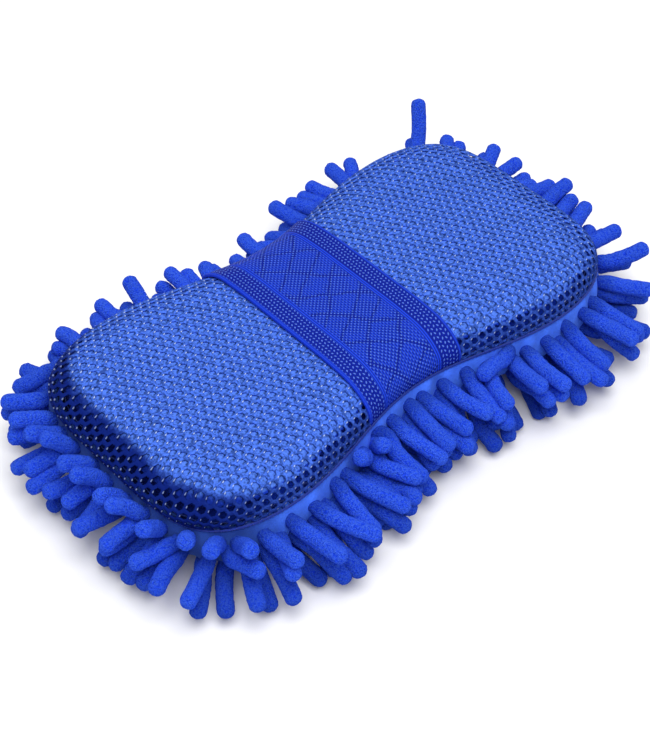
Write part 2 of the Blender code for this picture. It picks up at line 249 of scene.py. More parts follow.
class StrapSettings(bpy.types.PropertyGroup):
    """The elastic hand strap."""

    width: bpy.props.FloatProperty(
        name="Width", description="Width of the strap",
        default=STRAP_HIGH[0] - STRAP_LOW[0], unit="LENGTH")
    thickness: bpy.props.FloatProperty(
        name="Thickness", description="Thickness of the strap",
        default=STRAP_HIGH[2] - STRAP_LOW[2], unit="LENGTH")
    offset: bpy.props.FloatProperty(
        name="Offset", description="How far the strap is sewn off the pad's middle",
        default=-0.0024, unit="LENGTH")
    clearance: bpy.props.FloatProperty(
        name="Clearance", description="Gap between the net and the strap", default=0.0004,
        unit="LENGTH")
    colour: bpy.props.FloatVectorProperty(
        name="Colour", description="Colour of the webbing", subtype="COLOR", size=3,
        default=(0.012, 0.050, 0.640), min=0.0, max=1.0)
    dark_colour: bpy.props.FloatVectorProperty(
        name="Dark colour", description="Colour between the webbing's floats", subtype="COLOR",
        size=3, default=(0.002, 0.012, 0.300), min=0.0, max=1.0)
    light_colour: bpy.props.FloatVectorProperty(
        name="Light colour", description="Colour of the webbing's floats", subtype="COLOR",
        size=3, default=(0.130, 0.260, 1.000), min=0.0, max=1.0)


class StageSettings(bpy.types.PropertyGroup):
    """The floor, the lights and the camera."""

    azimuth: bpy.props.FloatProperty(
        name="Azimuth", description="Camera's turn round the pad",
        default=math.radians(-42.46), subtype="ANGLE")
    elevation: bpy.props.FloatProperty(
        name="Elevation", description="Camera's height above the horizon",
        default=math.radians(45.22), subtype="ANGLE")
    distance: bpy.props.FloatProperty(
        name="Distance", description="Camera's distance from the pad's middle",
        default=0.668, unit="LENGTH")
    lens: bpy.props.FloatProperty(name="Lens", description="Focal length in millimetres", default=79.7)
    aim_right: bpy.props.FloatProperty(
        name="Aim right", description="How far right of the pad's middle the camera is aimed",
        default=-0.0035, unit="LENGTH")
    aim_up: bpy.props.FloatProperty(
        name="Aim up", description="How far above the pad's middle the camera is aimed",
        default=-0.0208, unit="LENGTH")
    floor_colour: bpy.props.FloatVectorProperty(
        name="Floor colour", description="Colour of the floor", subtype="COLOR", size=3,
        default=(0.97, 0.97, 0.97), min=0.0, max=1.0)


# ---------------------------------------------------------------- node helpers

class Wire:
    """An output of a node, with arithmetic that adds Math nodes to its tree."""

    def __init__(self, tree, socket):
        self.tree = tree
        self.socket = socket

    def other(self, name):
        """Another output of the same node."""
        return Wire(self.tree, self.socket.node.outputs[name])

    def math(self, operation, *values):
        return add_node(self.tree, "ShaderNodeMath", {"operation": operation}, dict(enumerate(values)))

    def __add__(self, other):
        return self.math("ADD", self, other)

    def __radd__(self, other):
        return self.math("ADD", other, self)

    def __sub__(self, other):
        return self.math("SUBTRACT", self, other)

    def __rsub__(self, other):
        return self.math("SUBTRACT", other, self)

    def __mul__(self, other):
        return self.math("MULTIPLY", self, other)

    def __rmul__(self, other):
        return self.math("MULTIPLY", other, self)

    def __truediv__(self, other):
        return self.math("DIVIDE", self, other)

    def __rtruediv__(self, other):
        return self.math("DIVIDE", other, self)

    def __abs__(self):
        return self.math("ABSOLUTE", self)

    def lowest(self, other):
        return self.math("MINIMUM", self, other)

    def highest(self, other):
        return self.math("MAXIMUM", self, other)

    def sine(self):
        return self.math("SINE", self)

    def rounded(self):
        return self.math("ROUND", self)

    def fraction(self):
        return self.math("FRACT", self)

    def band(self, low, high):
        """0 below low, 1 above high, and smooth between them."""
        return add_node(
            self.tree, "ShaderNodeMapRange", {"interpolation_type": "SMOOTHSTEP"},
            {"Value": self, "From Min": low, "From Max": high})


def find_socket(sockets, key):
    """A socket by its number, identifier or name."""
    if isinstance(key, int):
        return sockets[key]
    for socket in sockets:
        if key in (socket.identifier, socket.name) and socket.enabled:
            return socket
    raise KeyError(f"no socket {key}")


def add_node(tree, kind, settings=None, inputs=None, output=None):
    """Adds a node, sets it, feeds its sockets, and returns one of its outputs."""
    node = tree.nodes.new(kind)
    for name, value in (settings or {}).items():
        setattr(node, name, value)
    for key, value in (inputs or {}).items():
        socket = find_socket(node.inputs, key)
        if isinstance(value, Wire):
            tree.links.new(value.socket, socket)
        else:
            socket.default_value = value
    if output is not None:
        return Wire(tree, find_socket(node.outputs, output))
    first = [socket for socket in node.outputs if socket.enabled]
    return Wire(tree, first[0]) if first else None


def opaque(colour):
    """A colour with its alpha."""
    return (colour[0], colour[1], colour[2], 1.0)


def scaled(colour, share):
    """A colour made darker or lighter, with its alpha."""
    return (colour[0] * share, colour[1] * share, colour[2] * share, 1.0)


def mixed(tree, share, first, second):
    """The first colour where share is 0 and the second where it is 1."""
    return add_node(
        tree, "ShaderNodeMix", {"data_type": "RGBA"},
        {"Factor_Float": share, "A_Color": first, "B_Color": second}, "Result_Color")


def new_material(name):
    material = bpy.data.materials.new(name)
    material.use_nodes = True
    material.node_tree.nodes.clear()
    return material


def close_material(material, colour, roughness, height=None, depth=0.001, sheen=0.0, sheen_tint=None,
                   specular=0.3):
    """Ends a material in a Principled shader, with an optional relief."""
    tree = material.node_tree
    inputs = {"Base Color": colour, "Roughness": roughness}
    if height is not None:
        inputs["Normal"] = add_node(
            tree, "ShaderNodeBump", None, {"Strength": 1.0, "Distance": depth, "Height": height})
    inputs["Specular IOR Level"] = specular
    inputs["Sheen Weight"] = sheen
    inputs["Sheen Roughness"] = 0.45
    if sheen_tint:
        inputs["Sheen Tint"] = opaque(sheen_tint)
    shader = add_node(tree, "ShaderNodeBsdfPrincipled", None, inputs)
    add_node(tree, "ShaderNodeOutputMaterial", None, {"Surface": shader})
    return material


def object_place(tree):
    return add_node(tree, "ShaderNodeTexCoord", None, None, "Object")


def parts_of(vector):
    """The three parts of a vector."""
    x = add_node(vector.tree, "ShaderNodeSeparateXYZ", None, {0: vector}, "X")
    return x, x.other("Y"), x.other("Z")


def noise(tree, place, size, detail=2.0, roughness=0.5):
    return add_node(
        tree, "ShaderNodeTexNoise", None,
        {"Vector": place, "Scale": 1.0 / size, "Detail": detail, "Roughness": roughness}, "Fac")


def cells(tree, place, size):
    return add_node(
        tree, "ShaderNodeTexVoronoi", {"feature": "F1"},
        {"Vector": place, "Scale": 1.0 / size}, "Distance")


# ---------------------------------------------------------------- materials

def net_material(settings):
    """Knitted net: ribbed yarn, a painted highlight dash at the top of each cell and a painted shadow spot
    beside it, and painted shade where the net hangs free.
    """
    material = new_material("knitted net")
    tree = material.node_tree
    flat = add_node(tree, "ShaderNodeAttribute", {"attribute_name": "flat"}, None, "Vector")
    across, up, _ = parts_of(flat)
    row_gap = settings.pitch * math.sqrt(3.0) / 2.0
    row = (up / row_gap).rounded()
    shifted = across / settings.pitch + (row * 0.5).fraction()
    cell = shifted - shifted.rounded()
    line = up / row_gap - row
    yarn_highlight, hole_shadow = cell_highlight_and_shadow(cell, line)
    place = object_place(tree)
    mottle = noise(tree, place, 0.0011, 3.0, 0.6)
    patches = noise(tree, place, 0.014, 2.0, 0.5)
    yarn = mixed(tree, mottle.band(0.38, 0.64), scaled(settings.colour, 0.50), scaled(settings.colour, 1.40))
    # Painted highlight: each cell's dash takes the shine colour.
    lit = mixed(tree, (yarn_highlight * (0.45 + patches * 1.2)).lowest(1.0), yarn, opaque(settings.shine))
    # Painted shadow: each cell's dark spot.
    colour = mixed(tree, hole_shadow * 0.85, lit, scaled(settings.colour, 0.18))
    upper, left_end_shade = rim_share(tree, place, patches)
    low = 1.0 - upper
    # Painted shade: the net is darkened to navy where it hangs free above the seam, most at the left end.
    colour = mixed(tree, low * (0.62 + left_end_shade * 0.36), colour, (0.002, 0.011, 0.150, 1.0))
    # Painted highlight: light dashes on the dark hanging net.
    colour = mixed(tree, low * yarn_highlight.band(0.50, 0.85) * 0.40, colour, opaque(settings.shine))
    relief = mottle * 0.6 + yarn_highlight * 0.9 - hole_shadow * 0.8
    return close_material(material, colour, 0.75 + mottle * 0.2, relief, 0.0006, 0.0, None, 0.05)


def rim_share(tree, place, patches):
    """0 where the net hangs free above the seam and 1 where it lies on the foam, and the left end's share of
    painted shade.
    """
    rim = add_node(tree, "ShaderNodeAttribute", {"attribute_name": "rim"}, None, "Fac")
    end, _, _ = parts_of(place)
    # Painted shade mask for the left end, fading out along X; it also raises the net's dark band there.
    left_end_shade = 1.0 - end.band(*LEFT_SHADE)
    edge = rim - left_end_shade * 0.0056 + (patches - 0.5) * 0.006
    return edge.band(*RIM_BAND), left_end_shade


def cell_highlight_and_shadow(cell, line):
    """The painted highlight dash and the painted shadow spot of each net cell."""
    # Painted highlight where the yarn catches the light, and painted shadow beside it in the hole.
    yarn_highlight = 1.0 - ((cell + 0.14) * (cell + 0.14) * 22.0 + (line - 0.34) * (line - 0.34) * 60.0).lowest(1.0)
    hole_shadow = 1.0 - ((cell - 0.20) * (cell - 0.20) * 26.0 + (line + 0.16) * (line + 0.16) * 20.0).lowest(1.0)
    return yarn_highlight, hole_shadow


def foam_material(settings, net):
    """Open-pored foam, lighter on top than at its side, with painted shade on its side and the net cells'
    painted shadow and highlight on its top.
    """
    material = new_material("open foam")
    tree = material.node_tree
    place = object_place(tree)
    across, up, _ = parts_of(place)
    row_gap = net.pitch * math.sqrt(3.0) / 2.0
    row = (up / row_gap).rounded()
    shifted = across / net.pitch + (row * 0.5).fraction()
    yarn_highlight, hole_shadow = cell_highlight_and_shadow(shifted - shifted.rounded(), up / row_gap - row)
    pores = cells(tree, place, 0.0011)
    mottle = noise(tree, place, 0.004, 3.0)
    top = mixed(tree, pores.band(0.1, 0.6), scaled(settings.colour, 0.50), scaled(settings.colour, 1.10))
    top = mixed(tree, mottle.band(0.3, 0.8) * 0.4, top, scaled(settings.colour, 0.7))
    # Painted shadow and painted highlight of the net's cells on the foam's top.
    top = mixed(tree, hole_shadow * 0.8, top, scaled(settings.colour, 0.15))
    top = mixed(tree, yarn_highlight * 0.4, top, scaled(settings.colour, 1.6))
    upper, left_end_shade = rim_share(tree, place, mottle)
    # Painted shade: the foam's side takes the dark side colour, darkest at the left end.
    side = mixed(tree, left_end_shade, scaled(settings.side_shade_colour, 3.2), scaled(settings.side_shade_colour, 1.3))
    colour = mixed(tree, upper, side, top)
    return close_material(material, colour, 0.85, pores, 0.0005, 0.0, None, 0.1)


def cloth_material(settings):
    """Short-piled cloth with soft clouds, and painted shade that makes it much darker at the left end, where
    the net hangs over it.
    """
    material = new_material("fleece cloth")
    tree = material.node_tree
    place = object_place(tree)
    pile = noise(tree, place, 0.0007, 4.0, 0.65)
    clouds = noise(tree, place, 0.009, 3.0, 0.55)
    colour = mixed(tree, clouds.band(0.3, 0.7), scaled(settings.colour, 0.82), scaled(settings.colour, 1.18))
    colour = mixed(tree, pile.band(0.4, 0.62) * 0.25, colour, scaled(settings.colour, 0.7))
    end, _, _ = parts_of(place)
    # Painted shade: the cloth is darkened at the left end, under the hanging net.
    colour = mixed(tree, (1.0 - end.band(*CLOTH_SHADE)) * 0.8, colour, scaled(settings.colour, 0.18))
    relief = pile + clouds * 0.8
    return close_material(material, colour, 0.9, relief, 0.0004, 0.12, (0.45, 0.62, 1.0), 0.06)


def chenille_material(settings):
    """Velvety pile in fine grains, with painted shade at the roots and low down, and different on each
    finger.
    """
    material = new_material("chenille pile")
    tree = material.node_tree
    place = object_place(tree)
    warp = add_node(
        tree, "ShaderNodeTexNoise", None, {"Vector": place, "Scale": 1400.0, "Detail": 1.0}, "Color")
    bent = add_node(
        tree, "ShaderNodeVectorMath", {"operation": "MULTIPLY_ADD"},
        {0: warp, 1: (0.0009, 0.0009, 0.0009), 2: place})
    grains = cells(tree, bent, 0.00062)
    fuzz = noise(tree, place, 0.00040, 2.0, 0.6)
    tone = add_node(tree, "ShaderNodeAttribute", {"attribute_name": "tone"}, None, "Fac")
    along = add_node(tree, "ShaderNodeAttribute", {"attribute_name": "along"}, None, "Fac")
    _, _, height = parts_of(place)
    grain = (grains * 0.85 + fuzz * 0.35).band(0.12, 0.95)
    colour = mixed(tree, grain, opaque(settings.tip_colour), opaque(settings.colour))
    colour = mixed(tree, grain.band(0.72, 1.0) * 0.35, colour, scaled(settings.colour, 0.45))
    colour = mixed(tree, tone * 0.22, colour, scaled(settings.colour, 0.55))
    # Painted shade: darker towards each finger's root and near the floor, where the fingers lie in shade.
    shade = (1.0 - along.band(0.0, 0.45)) * 0.70
    shade = shade.highest((1.0 - height.band(*LOW_SHADE)) * 0.60)
    colour = mixed(tree, shade, colour, scaled(settings.colour, 0.20))
    relief = fuzz * 0.35 - grains
    return close_material(material, colour, 0.95, relief, 0.0010, 0.34, (0.10, 0.26, 1.0), 0.02)


def strap_material(settings):
    """Woven elastic: dotted edge bands, plain ribbed stripes and a lattice of dots in the middle."""
    material = new_material("woven elastic")
    tree = material.node_tree
    uv = add_node(tree, "ShaderNodeAttribute", {"attribute_name": "weave"}, None, "Vector")
    along, across, _ = parts_of(uv)
    side = abs(across)
    half = settings.width / 2.0
    turn = 2.0 * math.pi
    place = object_place(tree)
    wear = noise(tree, place, 0.0009, 3.0, 0.6)
    slack = noise(tree, place, 0.006, 2.0, 0.5) - 0.5
    ribs = (across * (turn / 0.00100)).sine() * 0.5 + 0.5
    picks = ((along + slack * 0.0008) * (turn / 0.0013)).sine() * 0.5 + 0.5
    stagger = (across * (turn / 0.0030)).sine() * 0.25
    dots = ((along / 0.00175 + stagger) * turn).sine() * 0.5 + 0.5
    columns = (across * (turn / 0.00150)).sine() * 0.5 + 0.5
    edge_dots = (dots * columns).band(0.30, 0.60)
    edge_band = side.band(half - 0.0094, half - 0.0090) - side.band(half - 0.0016, half - 0.0012)
    selvage = side.band(half - 0.0014, half - 0.0010)
    wave = (along * (turn / 0.031)).sine() * 0.0024 + slack * 0.004
    lean = across + wave
    first = abs(((along / 0.0165 + lean / 0.0190) * math.pi).sine())
    second = abs(((along / 0.0125 - lean / 0.0160) * math.pi).sine())
    crossing = first.lowest(second)
    lattice = 1.0 - crossing.band(0.16, 0.36)
    groove = 1.0 - crossing.band(0.05, 0.15)
    fill = ((along / 0.0083 + across / 0.0210) * math.pi).sine() * ((across / 0.0105) * math.pi).sine()
    dotted = (fill + slack * 1.5).band(-0.1, 0.3)
    fine = ((along * (turn / 0.0019)).sine() * (across * (turn / 0.0020)).sine() * 0.5 + 0.5)
    centre = 1.0 - side.band(half - 0.0116, half - 0.0112)
    marked = centre * lattice.highest(dotted * 0.50)
    field = centre * (0.35 + marked * 0.65)
    light = edge_band * edge_dots * 0.85 + field * fine.band(0.56, 0.82)
    dark = edge_band * (1.0 - edge_dots) + (field * (1.0 - fine.band(0.18, 0.44))).highest(centre * groove)
    stripe = (1.0 - edge_band).lowest(1.0) * ribs.band(0.15, 0.55)
    worn = stripe * (0.70 + wear * 0.5)
    base = mixed(tree, worn, scaled(settings.colour, 0.40), scaled(settings.colour, 1.15))
    colour = mixed(tree, dark.lowest(1.0) * 0.96, base, opaque(settings.dark_colour))
    colour = mixed(tree, light.lowest(1.0) * 0.80, colour, opaque(settings.light_colour))
    colour = mixed(tree, selvage * 0.6, colour, scaled(settings.colour, 0.9))
    relief = ribs * 0.25 + light * 1.0 - dark * 0.5 + picks * 0.1 + wear * 0.15
    return close_material(material, colour, 0.62, relief, 0.0007, 0.02, settings.light_colour, 0.06)


def thread_material(name, colour):
    """Twisted sewing thread."""
    material = new_material(name)
    tree = material.node_tree
    place = object_place(tree)
    x, y, z = parts_of(place)
    twist = ((x + y + z) * (2.0 * math.pi / 0.0006)).sine() * 0.5 + 0.5
    fuzz = noise(tree, place, 0.0004)
    shade = mixed(tree, twist * 0.6 + fuzz * 0.4, scaled(colour, 0.55), scaled(colour, 1.2))
    return close_material(material, shade, 0.55, twist, 0.0002, 0.2, (0.5, 0.6, 1.0), 0.3)


def floor_material(colour):
    """Plain pale paper."""
    material = new_material("pale paper")
    tree = material.node_tree
    grain = noise(tree, object_place(tree), 0.02, 2.0)
    shade = mixed(tree, grain, scaled(colour, 0.995), scaled(colour, 1.0))
    return close_material(material, shade, 0.9, None, 0.001, 0.0, None, 0.1)


# ---------------------------------------------------------------- the pad's shape

class Outline:
    """The seam line round the pad, and the pad's profile across it."""

    def __init__(self, shape):
        self.shape = shape
        turns = numpy.linspace(0.0, 2.0 * math.pi, LINE_POINTS * 8, endpoint=False)
        dense = self.on_curve(turns)
        steps = numpy.linalg.norm(numpy.roll(dense, -1, 0) - dense, axis=1)
        travelled = numpy.concatenate([[0.0], numpy.cumsum(steps)])
        self.total = travelled[-1]
        self.along = numpy.linspace(0.0, self.total, LINE_POINTS, endpoint=False)
        closed = numpy.vstack([dense, dense[:1]])
        self.points = numpy.stack(
            [numpy.interp(self.along, travelled, closed[:, axis]) for axis in (0, 1)], axis=1)
        ahead = numpy.roll(self.points, -1, 0) - numpy.roll(self.points, 1, 0)
        normals = numpy.stack([ahead[:, 1], -ahead[:, 0]], axis=1)
        self.normals = normals / numpy.linalg.norm(normals, axis=1)[:, None]
        self.make_profile()

    def on_curve(self, turns):
        shape = self.shape
        long_half = shape.length / 2.0
        short_half = shape.width / 2.0
        power = shape.corner_power
        reach = (numpy.abs(numpy.cos(turns) / long_half) ** power
                 + numpy.abs(numpy.sin(turns) / short_half) ** power) ** (-1.0 / power)
        x = reach * numpy.cos(turns)
        taken_in = 1.0 - 2.0 * shape.waist_depth / shape.width * numpy.exp(-(x / shape.waist_reach) ** 2)
        return numpy.stack([x, reach * numpy.sin(turns) * taken_in], axis=1)

    def make_profile(self):
        """Tables of the rounded top edge, by the distance travelled down from the flat top."""
        rise = TOP_HEIGHT - SEAM_HEIGHT - self.shape.crown
        angles = numpy.linspace(math.pi / 2.0, 0.0, 200)
        self.edge_inset = self.shape.edge_width * (1.0 - numpy.cos(angles))
        self.edge_rise = rise * numpy.sin(angles)
        steps = numpy.hypot(numpy.diff(self.edge_inset), numpy.diff(self.edge_rise))
        self.edge_travel = numpy.concatenate([[0.0], numpy.cumsum(steps)])
        self.edge_length = self.edge_travel[-1]

    def rim_distance(self, inside):
        """The distance up the surface from the seam, for points at a distance inside the seam line."""
        return numpy.clip(self.edge_length - self.shape.edge_width + inside, 0.0, None)

    def crown_at(self, inset):
        share = numpy.clip(inset / CROWN_REACH, 0.0, 1.0)
        return self.shape.crown * share * share * (3.0 - 2.0 * share)

    def place(self, along):
        """The point and outward normal at a distance along the seam line."""
        position = (numpy.asarray(along) % self.total) / self.total * LINE_POINTS
        low = numpy.floor(position).astype(int) % LINE_POINTS
        high = (low + 1) % LINE_POINTS
        share = (position - numpy.floor(position))[..., None]
        point = self.points[low] * (1.0 - share) + self.points[high] * share
        normal = self.normals[low] * (1.0 - share) + self.normals[high] * share
        return point, normal / numpy.linalg.norm(normal, axis=-1)[..., None]

    def nearest(self, flat):
        """For each flat point, its distance inside the seam line, and the nearest point and normal there."""
        inside = numpy.empty(len(flat))
        foot = numpy.empty((len(flat), 2))
        normal = numpy.empty((len(flat), 2))
        for start in range(0, len(flat), NEAREST_BATCH):
            some = flat[start:start + NEAREST_BATCH]
            apart = ((some[:, None, :] - self.points[None, :, :]) ** 2).sum(axis=2)
            best = apart.argmin(axis=1)
            ahead = self.points[(best + 1) % LINE_POINTS] - self.points[best - 1]
            offset = ((some - self.points[best - 1]) * ahead).sum(axis=1) / (ahead ** 2).sum(axis=1)
            along = (best - 1 + 2.0 * numpy.clip(offset, 0.0, 1.0)) * self.total / LINE_POINTS
            near, out = self.place(along)
            foot[start:start + NEAREST_BATCH] = near
            normal[start:start + NEAREST_BATCH] = out
            inside[start:start + NEAREST_BATCH] = -((some - near) * out).sum(axis=1)
        return inside, foot, normal

    def shell(self, flat, depth=0.0):
        """Lays flat points over the pad's top and its rounded edge, depth below the surface."""
        inside, foot, normal = self.nearest(flat)
        edge = self.shape.edge_width
        travel = numpy.clip(edge - inside, 0.0, self.edge_length)
        inset = numpy.where(
            inside >= edge, inside, numpy.interp(travel, self.edge_travel, self.edge_inset))
        rise = numpy.interp(travel, self.edge_travel, self.edge_rise)
        tilt = numpy.clip((edge - inset) / edge, 0.0, 1.0)
        climb = numpy.clip((self.edge_length - travel) / SLACK_REACH, 0.0, 1.0)
        loose = numpy.where(normal[:, 0] < 0.0, 1.0, 0.5)
        ends = self.shape.slack * loose * normal[:, 0] ** 2
        slack = (self.shape.slack * 0.2 + ends) * numpy.sin(math.pi * climb) ** 0.8
        plan = foot - normal * (inset + depth * tilt - slack)[:, None]
        flat_top = (inside >= edge)[:, None]
        plan = numpy.where(flat_top, flat, plan)
        height = SEAM_HEIGHT + rise + self.crown_at(inset) - depth * (1.0 - tilt ** 2) ** 0.5
        return numpy.column_stack([plan, height])

    def wall_inset(self, height):
        """How far the pad's surface is inside the seam line at a height."""
        shape = self.shape
        height = numpy.asarray(height)
        up = numpy.clip((height - SEAM_HEIGHT) / (TOP_HEIGHT - SEAM_HEIGHT), 0.0, 1.0)
        above = shape.edge_width * (1.0 - numpy.sqrt(1.0 - up * up))
        down = numpy.clip((SEAM_HEIGHT - height) / (SEAM_HEIGHT - BASE_HEIGHT), 0.0, 1.0)
        swell = shape.bulge * numpy.sin(math.pi * numpy.clip(down * 1.05, 0.0, 1.0)) ** 0.8
        turn = numpy.clip((BASE_HEIGHT + shape.bottom_radius - height) / shape.bottom_radius, 0.0, 1.0)
        under = shape.bottom_radius * (1.0 - numpy.sqrt(1.0 - turn * turn))
        return numpy.where(height >= SEAM_HEIGHT, above, under - swell)


def new_object(name, vertices, faces, material):
    mesh = bpy.data.meshes.new(name)
    mesh.from_pydata([tuple(vertex) for vertex in vertices], [], [tuple(face) for face in faces])
    mesh.validate()
    mesh.materials.append(material)
    mesh.shade_smooth()
    piece = bpy.data.objects.new(name, mesh)
    bpy.context.scene.collection.objects.link(piece)
    return piece


def store(mesh, name, values):
    """Keeps a number or a vector for each vertex."""
    kind = "FLOAT" if values.ndim == 1 else "FLOAT_VECTOR"
    attribute = mesh.attributes.new(name, kind, "POINT")
    attribute.data.foreach_set("value" if values.ndim == 1 else "vector", values.astype("f").ravel())


def ring_faces(rings, around, cyclic=True):
    """Quads between stacked rings of points."""
    faces = []
    for ring in range(rings - 1):
        low = ring * around
        high = low + around
        for step in range(around if cyclic else around - 1):
            after = (step + 1) % around
            faces.append((low + step, low + after, high + after, high + step))
    return faces


def apply_modifiers(piece):
    """Turns a piece and its modifiers into a plain mesh."""
    graph = bpy.context.evaluated_depsgraph_get()
    mesh = bpy.data.meshes.new_from_object(piece.evaluated_get(graph), depsgraph=graph)
    old = piece.data
    piece.modifiers.clear()
    piece.data = mesh
    bpy.data.meshes.remove(old)


def vertices_of(mesh):
    places = numpy.empty(len(mesh.vertices) * 3, "f")
    mesh.vertices.foreach_get("co", places)
    return places.reshape(-1, 3).astype(float)


# ---------------------------------------------------------------- Geometry Nodes

def new_tree(name, inputs):
    """A Geometry Nodes tree with named inputs; returns the tree and its inputs as wires."""
    tree = bpy.data.node_groups.new(name, "GeometryNodeTree")
    tree.interface.new_socket(name="Geometry", in_out="INPUT", socket_type="NodeSocketGeometry")
    for label, kind in inputs:
        tree.interface.new_socket(name=label, in_out="INPUT", socket_type=kind)
    tree.interface.new_socket(name="Geometry", in_out="OUTPUT", socket_type="NodeSocketGeometry")
    entry = add_node(tree, "NodeGroupInput", None, None, "Geometry")
    wires = {label: entry.other(label) for label, _ in inputs}
    wires["Geometry"] = entry
    return tree, wires


def close_tree(tree, geometry, material):
    """Ends a tree in real, smooth geometry with its material."""
    solid = add_node(tree, "GeometryNodeRealizeInstances", None, {"Geometry": geometry})
    smooth = add_node(tree, "GeometryNodeSetShadeSmooth", None, {"Geometry": solid})
    finished = add_node(tree, "GeometryNodeSetMaterial", None, {"Geometry": smooth, "Material": material})
    add_node(tree, "NodeGroupOutput", None, {"Geometry": finished})


def grow(name, mesh, tree, values):
    """Runs a tree on a mesh and returns the result as an object with a plain mesh."""
    seed = bpy.data.objects.new(name + " seed", mesh)
    bpy.context.scene.collection.objects.link(seed)
    modifier = seed.modifiers.new(tree.name, "NODES")
    modifier.node_group = tree
    for item in tree.interface.items_tree:
        if item.item_type == "SOCKET" and item.in_out == "INPUT" and item.name in values:
            modifier[item.identifier] = values[item.name]
    graph = bpy.context.evaluated_depsgraph_get()
    grown = bpy.data.meshes.new_from_object(seed.evaluated_get(graph), depsgraph=graph)
    bpy.data.objects.remove(seed)
    bpy.data.meshes.remove(mesh)
    grown.name = name
    piece = bpy.data.objects.new(name, grown)
    bpy.context.scene.collection.objects.link(piece)
    return piece


def net_tree():
    """A flat honeycomb of six-sided cells, each with a six-sided hole."""
    tree, given = new_tree("honeycomb net", [
        ("Pitch", "NodeSocketFloat"), ("Hole share", "NodeSocketFloat"), ("Columns", "NodeSocketInt"),
        ("Rows", "NodeSocketInt"), ("Material", "NodeSocketMaterial")])
    pitch = given["Pitch"]
    row_gap = pitch * (math.sqrt(3.0) / 2.0)
    columns = given["Columns"]
    rows = given["Rows"]
    grid = add_node(tree, "GeometryNodeMeshGrid", None, {
        "Size X": pitch * (columns - 1.0), "Size Y": row_gap * (rows - 1.0),
        "Vertices X": columns, "Vertices Y": rows}, "Mesh")
    place = add_node(tree, "GeometryNodeInputPosition")
    _, up, _ = parts_of(place)
    odd = (up / row_gap).rounded() * 0.5
    shift = add_node(tree, "ShaderNodeCombineXYZ", None, {"X": odd.fraction() * pitch})
    lattice = add_node(tree, "GeometryNodeSetPosition", None, {"Geometry": grid, "Offset": shift})
    hexagon = add_node(tree, "GeometryNodeMeshCircle", {"fill_type": "NGON"}, {
        "Vertices": 6, "Radius": pitch * (1.0 / math.sqrt(3.0))})
    quarter = add_node(tree, "GeometryNodeTransform", None, {
        "Geometry": hexagon, "Rotation": (0.0, 0.0, math.pi / 2.0)})
    doubled = add_node(tree, "GeometryNodeExtrudeMesh", {"mode": "FACES"}, {
        "Mesh": quarter, "Offset Scale": 0.0}, "Mesh")
    inner = doubled.other("Top")
    shrunk = add_node(tree, "GeometryNodeScaleElements", None, {
        "Geometry": doubled, "Selection": inner, "Scale": given["Hole share"]})
    ring = add_node(tree, "GeometryNodeDeleteGeometry", {"domain": "FACE"}, {
        "Geometry": shrunk, "Selection": inner})
    spread = add_node(tree, "GeometryNodeInstanceOnPoints", None, {"Points": lattice, "Instance": ring})
    solid = add_node(tree, "GeometryNodeRealizeInstances", None, {"Geometry": spread})
    joined = add_node(tree, "GeometryNodeMergeByDistance", None, {"Geometry": solid, "Distance": 0.00003})
    close_tree(tree, joined, given["Material"])
    return tree


def finger_tree():
    """Tubes along the drawn lines, rounded at the tip and lumpy all over."""
    tree, given = new_tree("chenille fingers", [
        ("Width", "NodeSocketFloat"), ("Pile", "NodeSocketFloat"), ("Sides", "NodeSocketInt"),
        ("Seed", "NodeSocketFloat"), ("Material", "NodeSocketMaterial")])
    lines = add_node(tree, "GeometryNodeMeshToCurve", None, {"Mesh": given["Geometry"]})
    share = add_node(tree, "GeometryNodeInputNamedAttribute", {"data_type": "FLOAT"}, {"Name": "girth"})
    circle = add_node(tree, "GeometryNodeCurvePrimitiveCircle", None, {
        "Resolution": given["Sides"], "Radius": 1.0})
    tubes = add_node(tree, "GeometryNodeCurveToMesh", None, {
        "Curve": lines, "Profile Curve": circle, "Scale": share * given["Width"] * 0.5, "Fill Caps": True})
    place = add_node(tree, "GeometryNodeInputPosition")
    moved = add_node(tree, "ShaderNodeVectorMath", {"operation": "ADD"}, {
        0: place, 1: add_node(tree, "ShaderNodeCombineXYZ", None, {"X": given["Seed"]})})
    lumps = add_node(tree, "ShaderNodeTexNoise", None, {
        "Vector": moved, "Scale": 620.0, "Detail": 2.0, "Roughness": 0.6}, "Fac")
    normal = add_node(tree, "GeometryNodeInputNormal")
    push = add_node(tree, "ShaderNodeVectorMath", {"operation": "SCALE"}, {
        0: normal, "Scale": (lumps - 0.5) * given["Pile"] * 2.4})
    piled = add_node(tree, "GeometryNodeSetPosition", None, {"Geometry": tubes, "Offset": push})
    close_tree(tree, piled, given["Material"])
    return tree


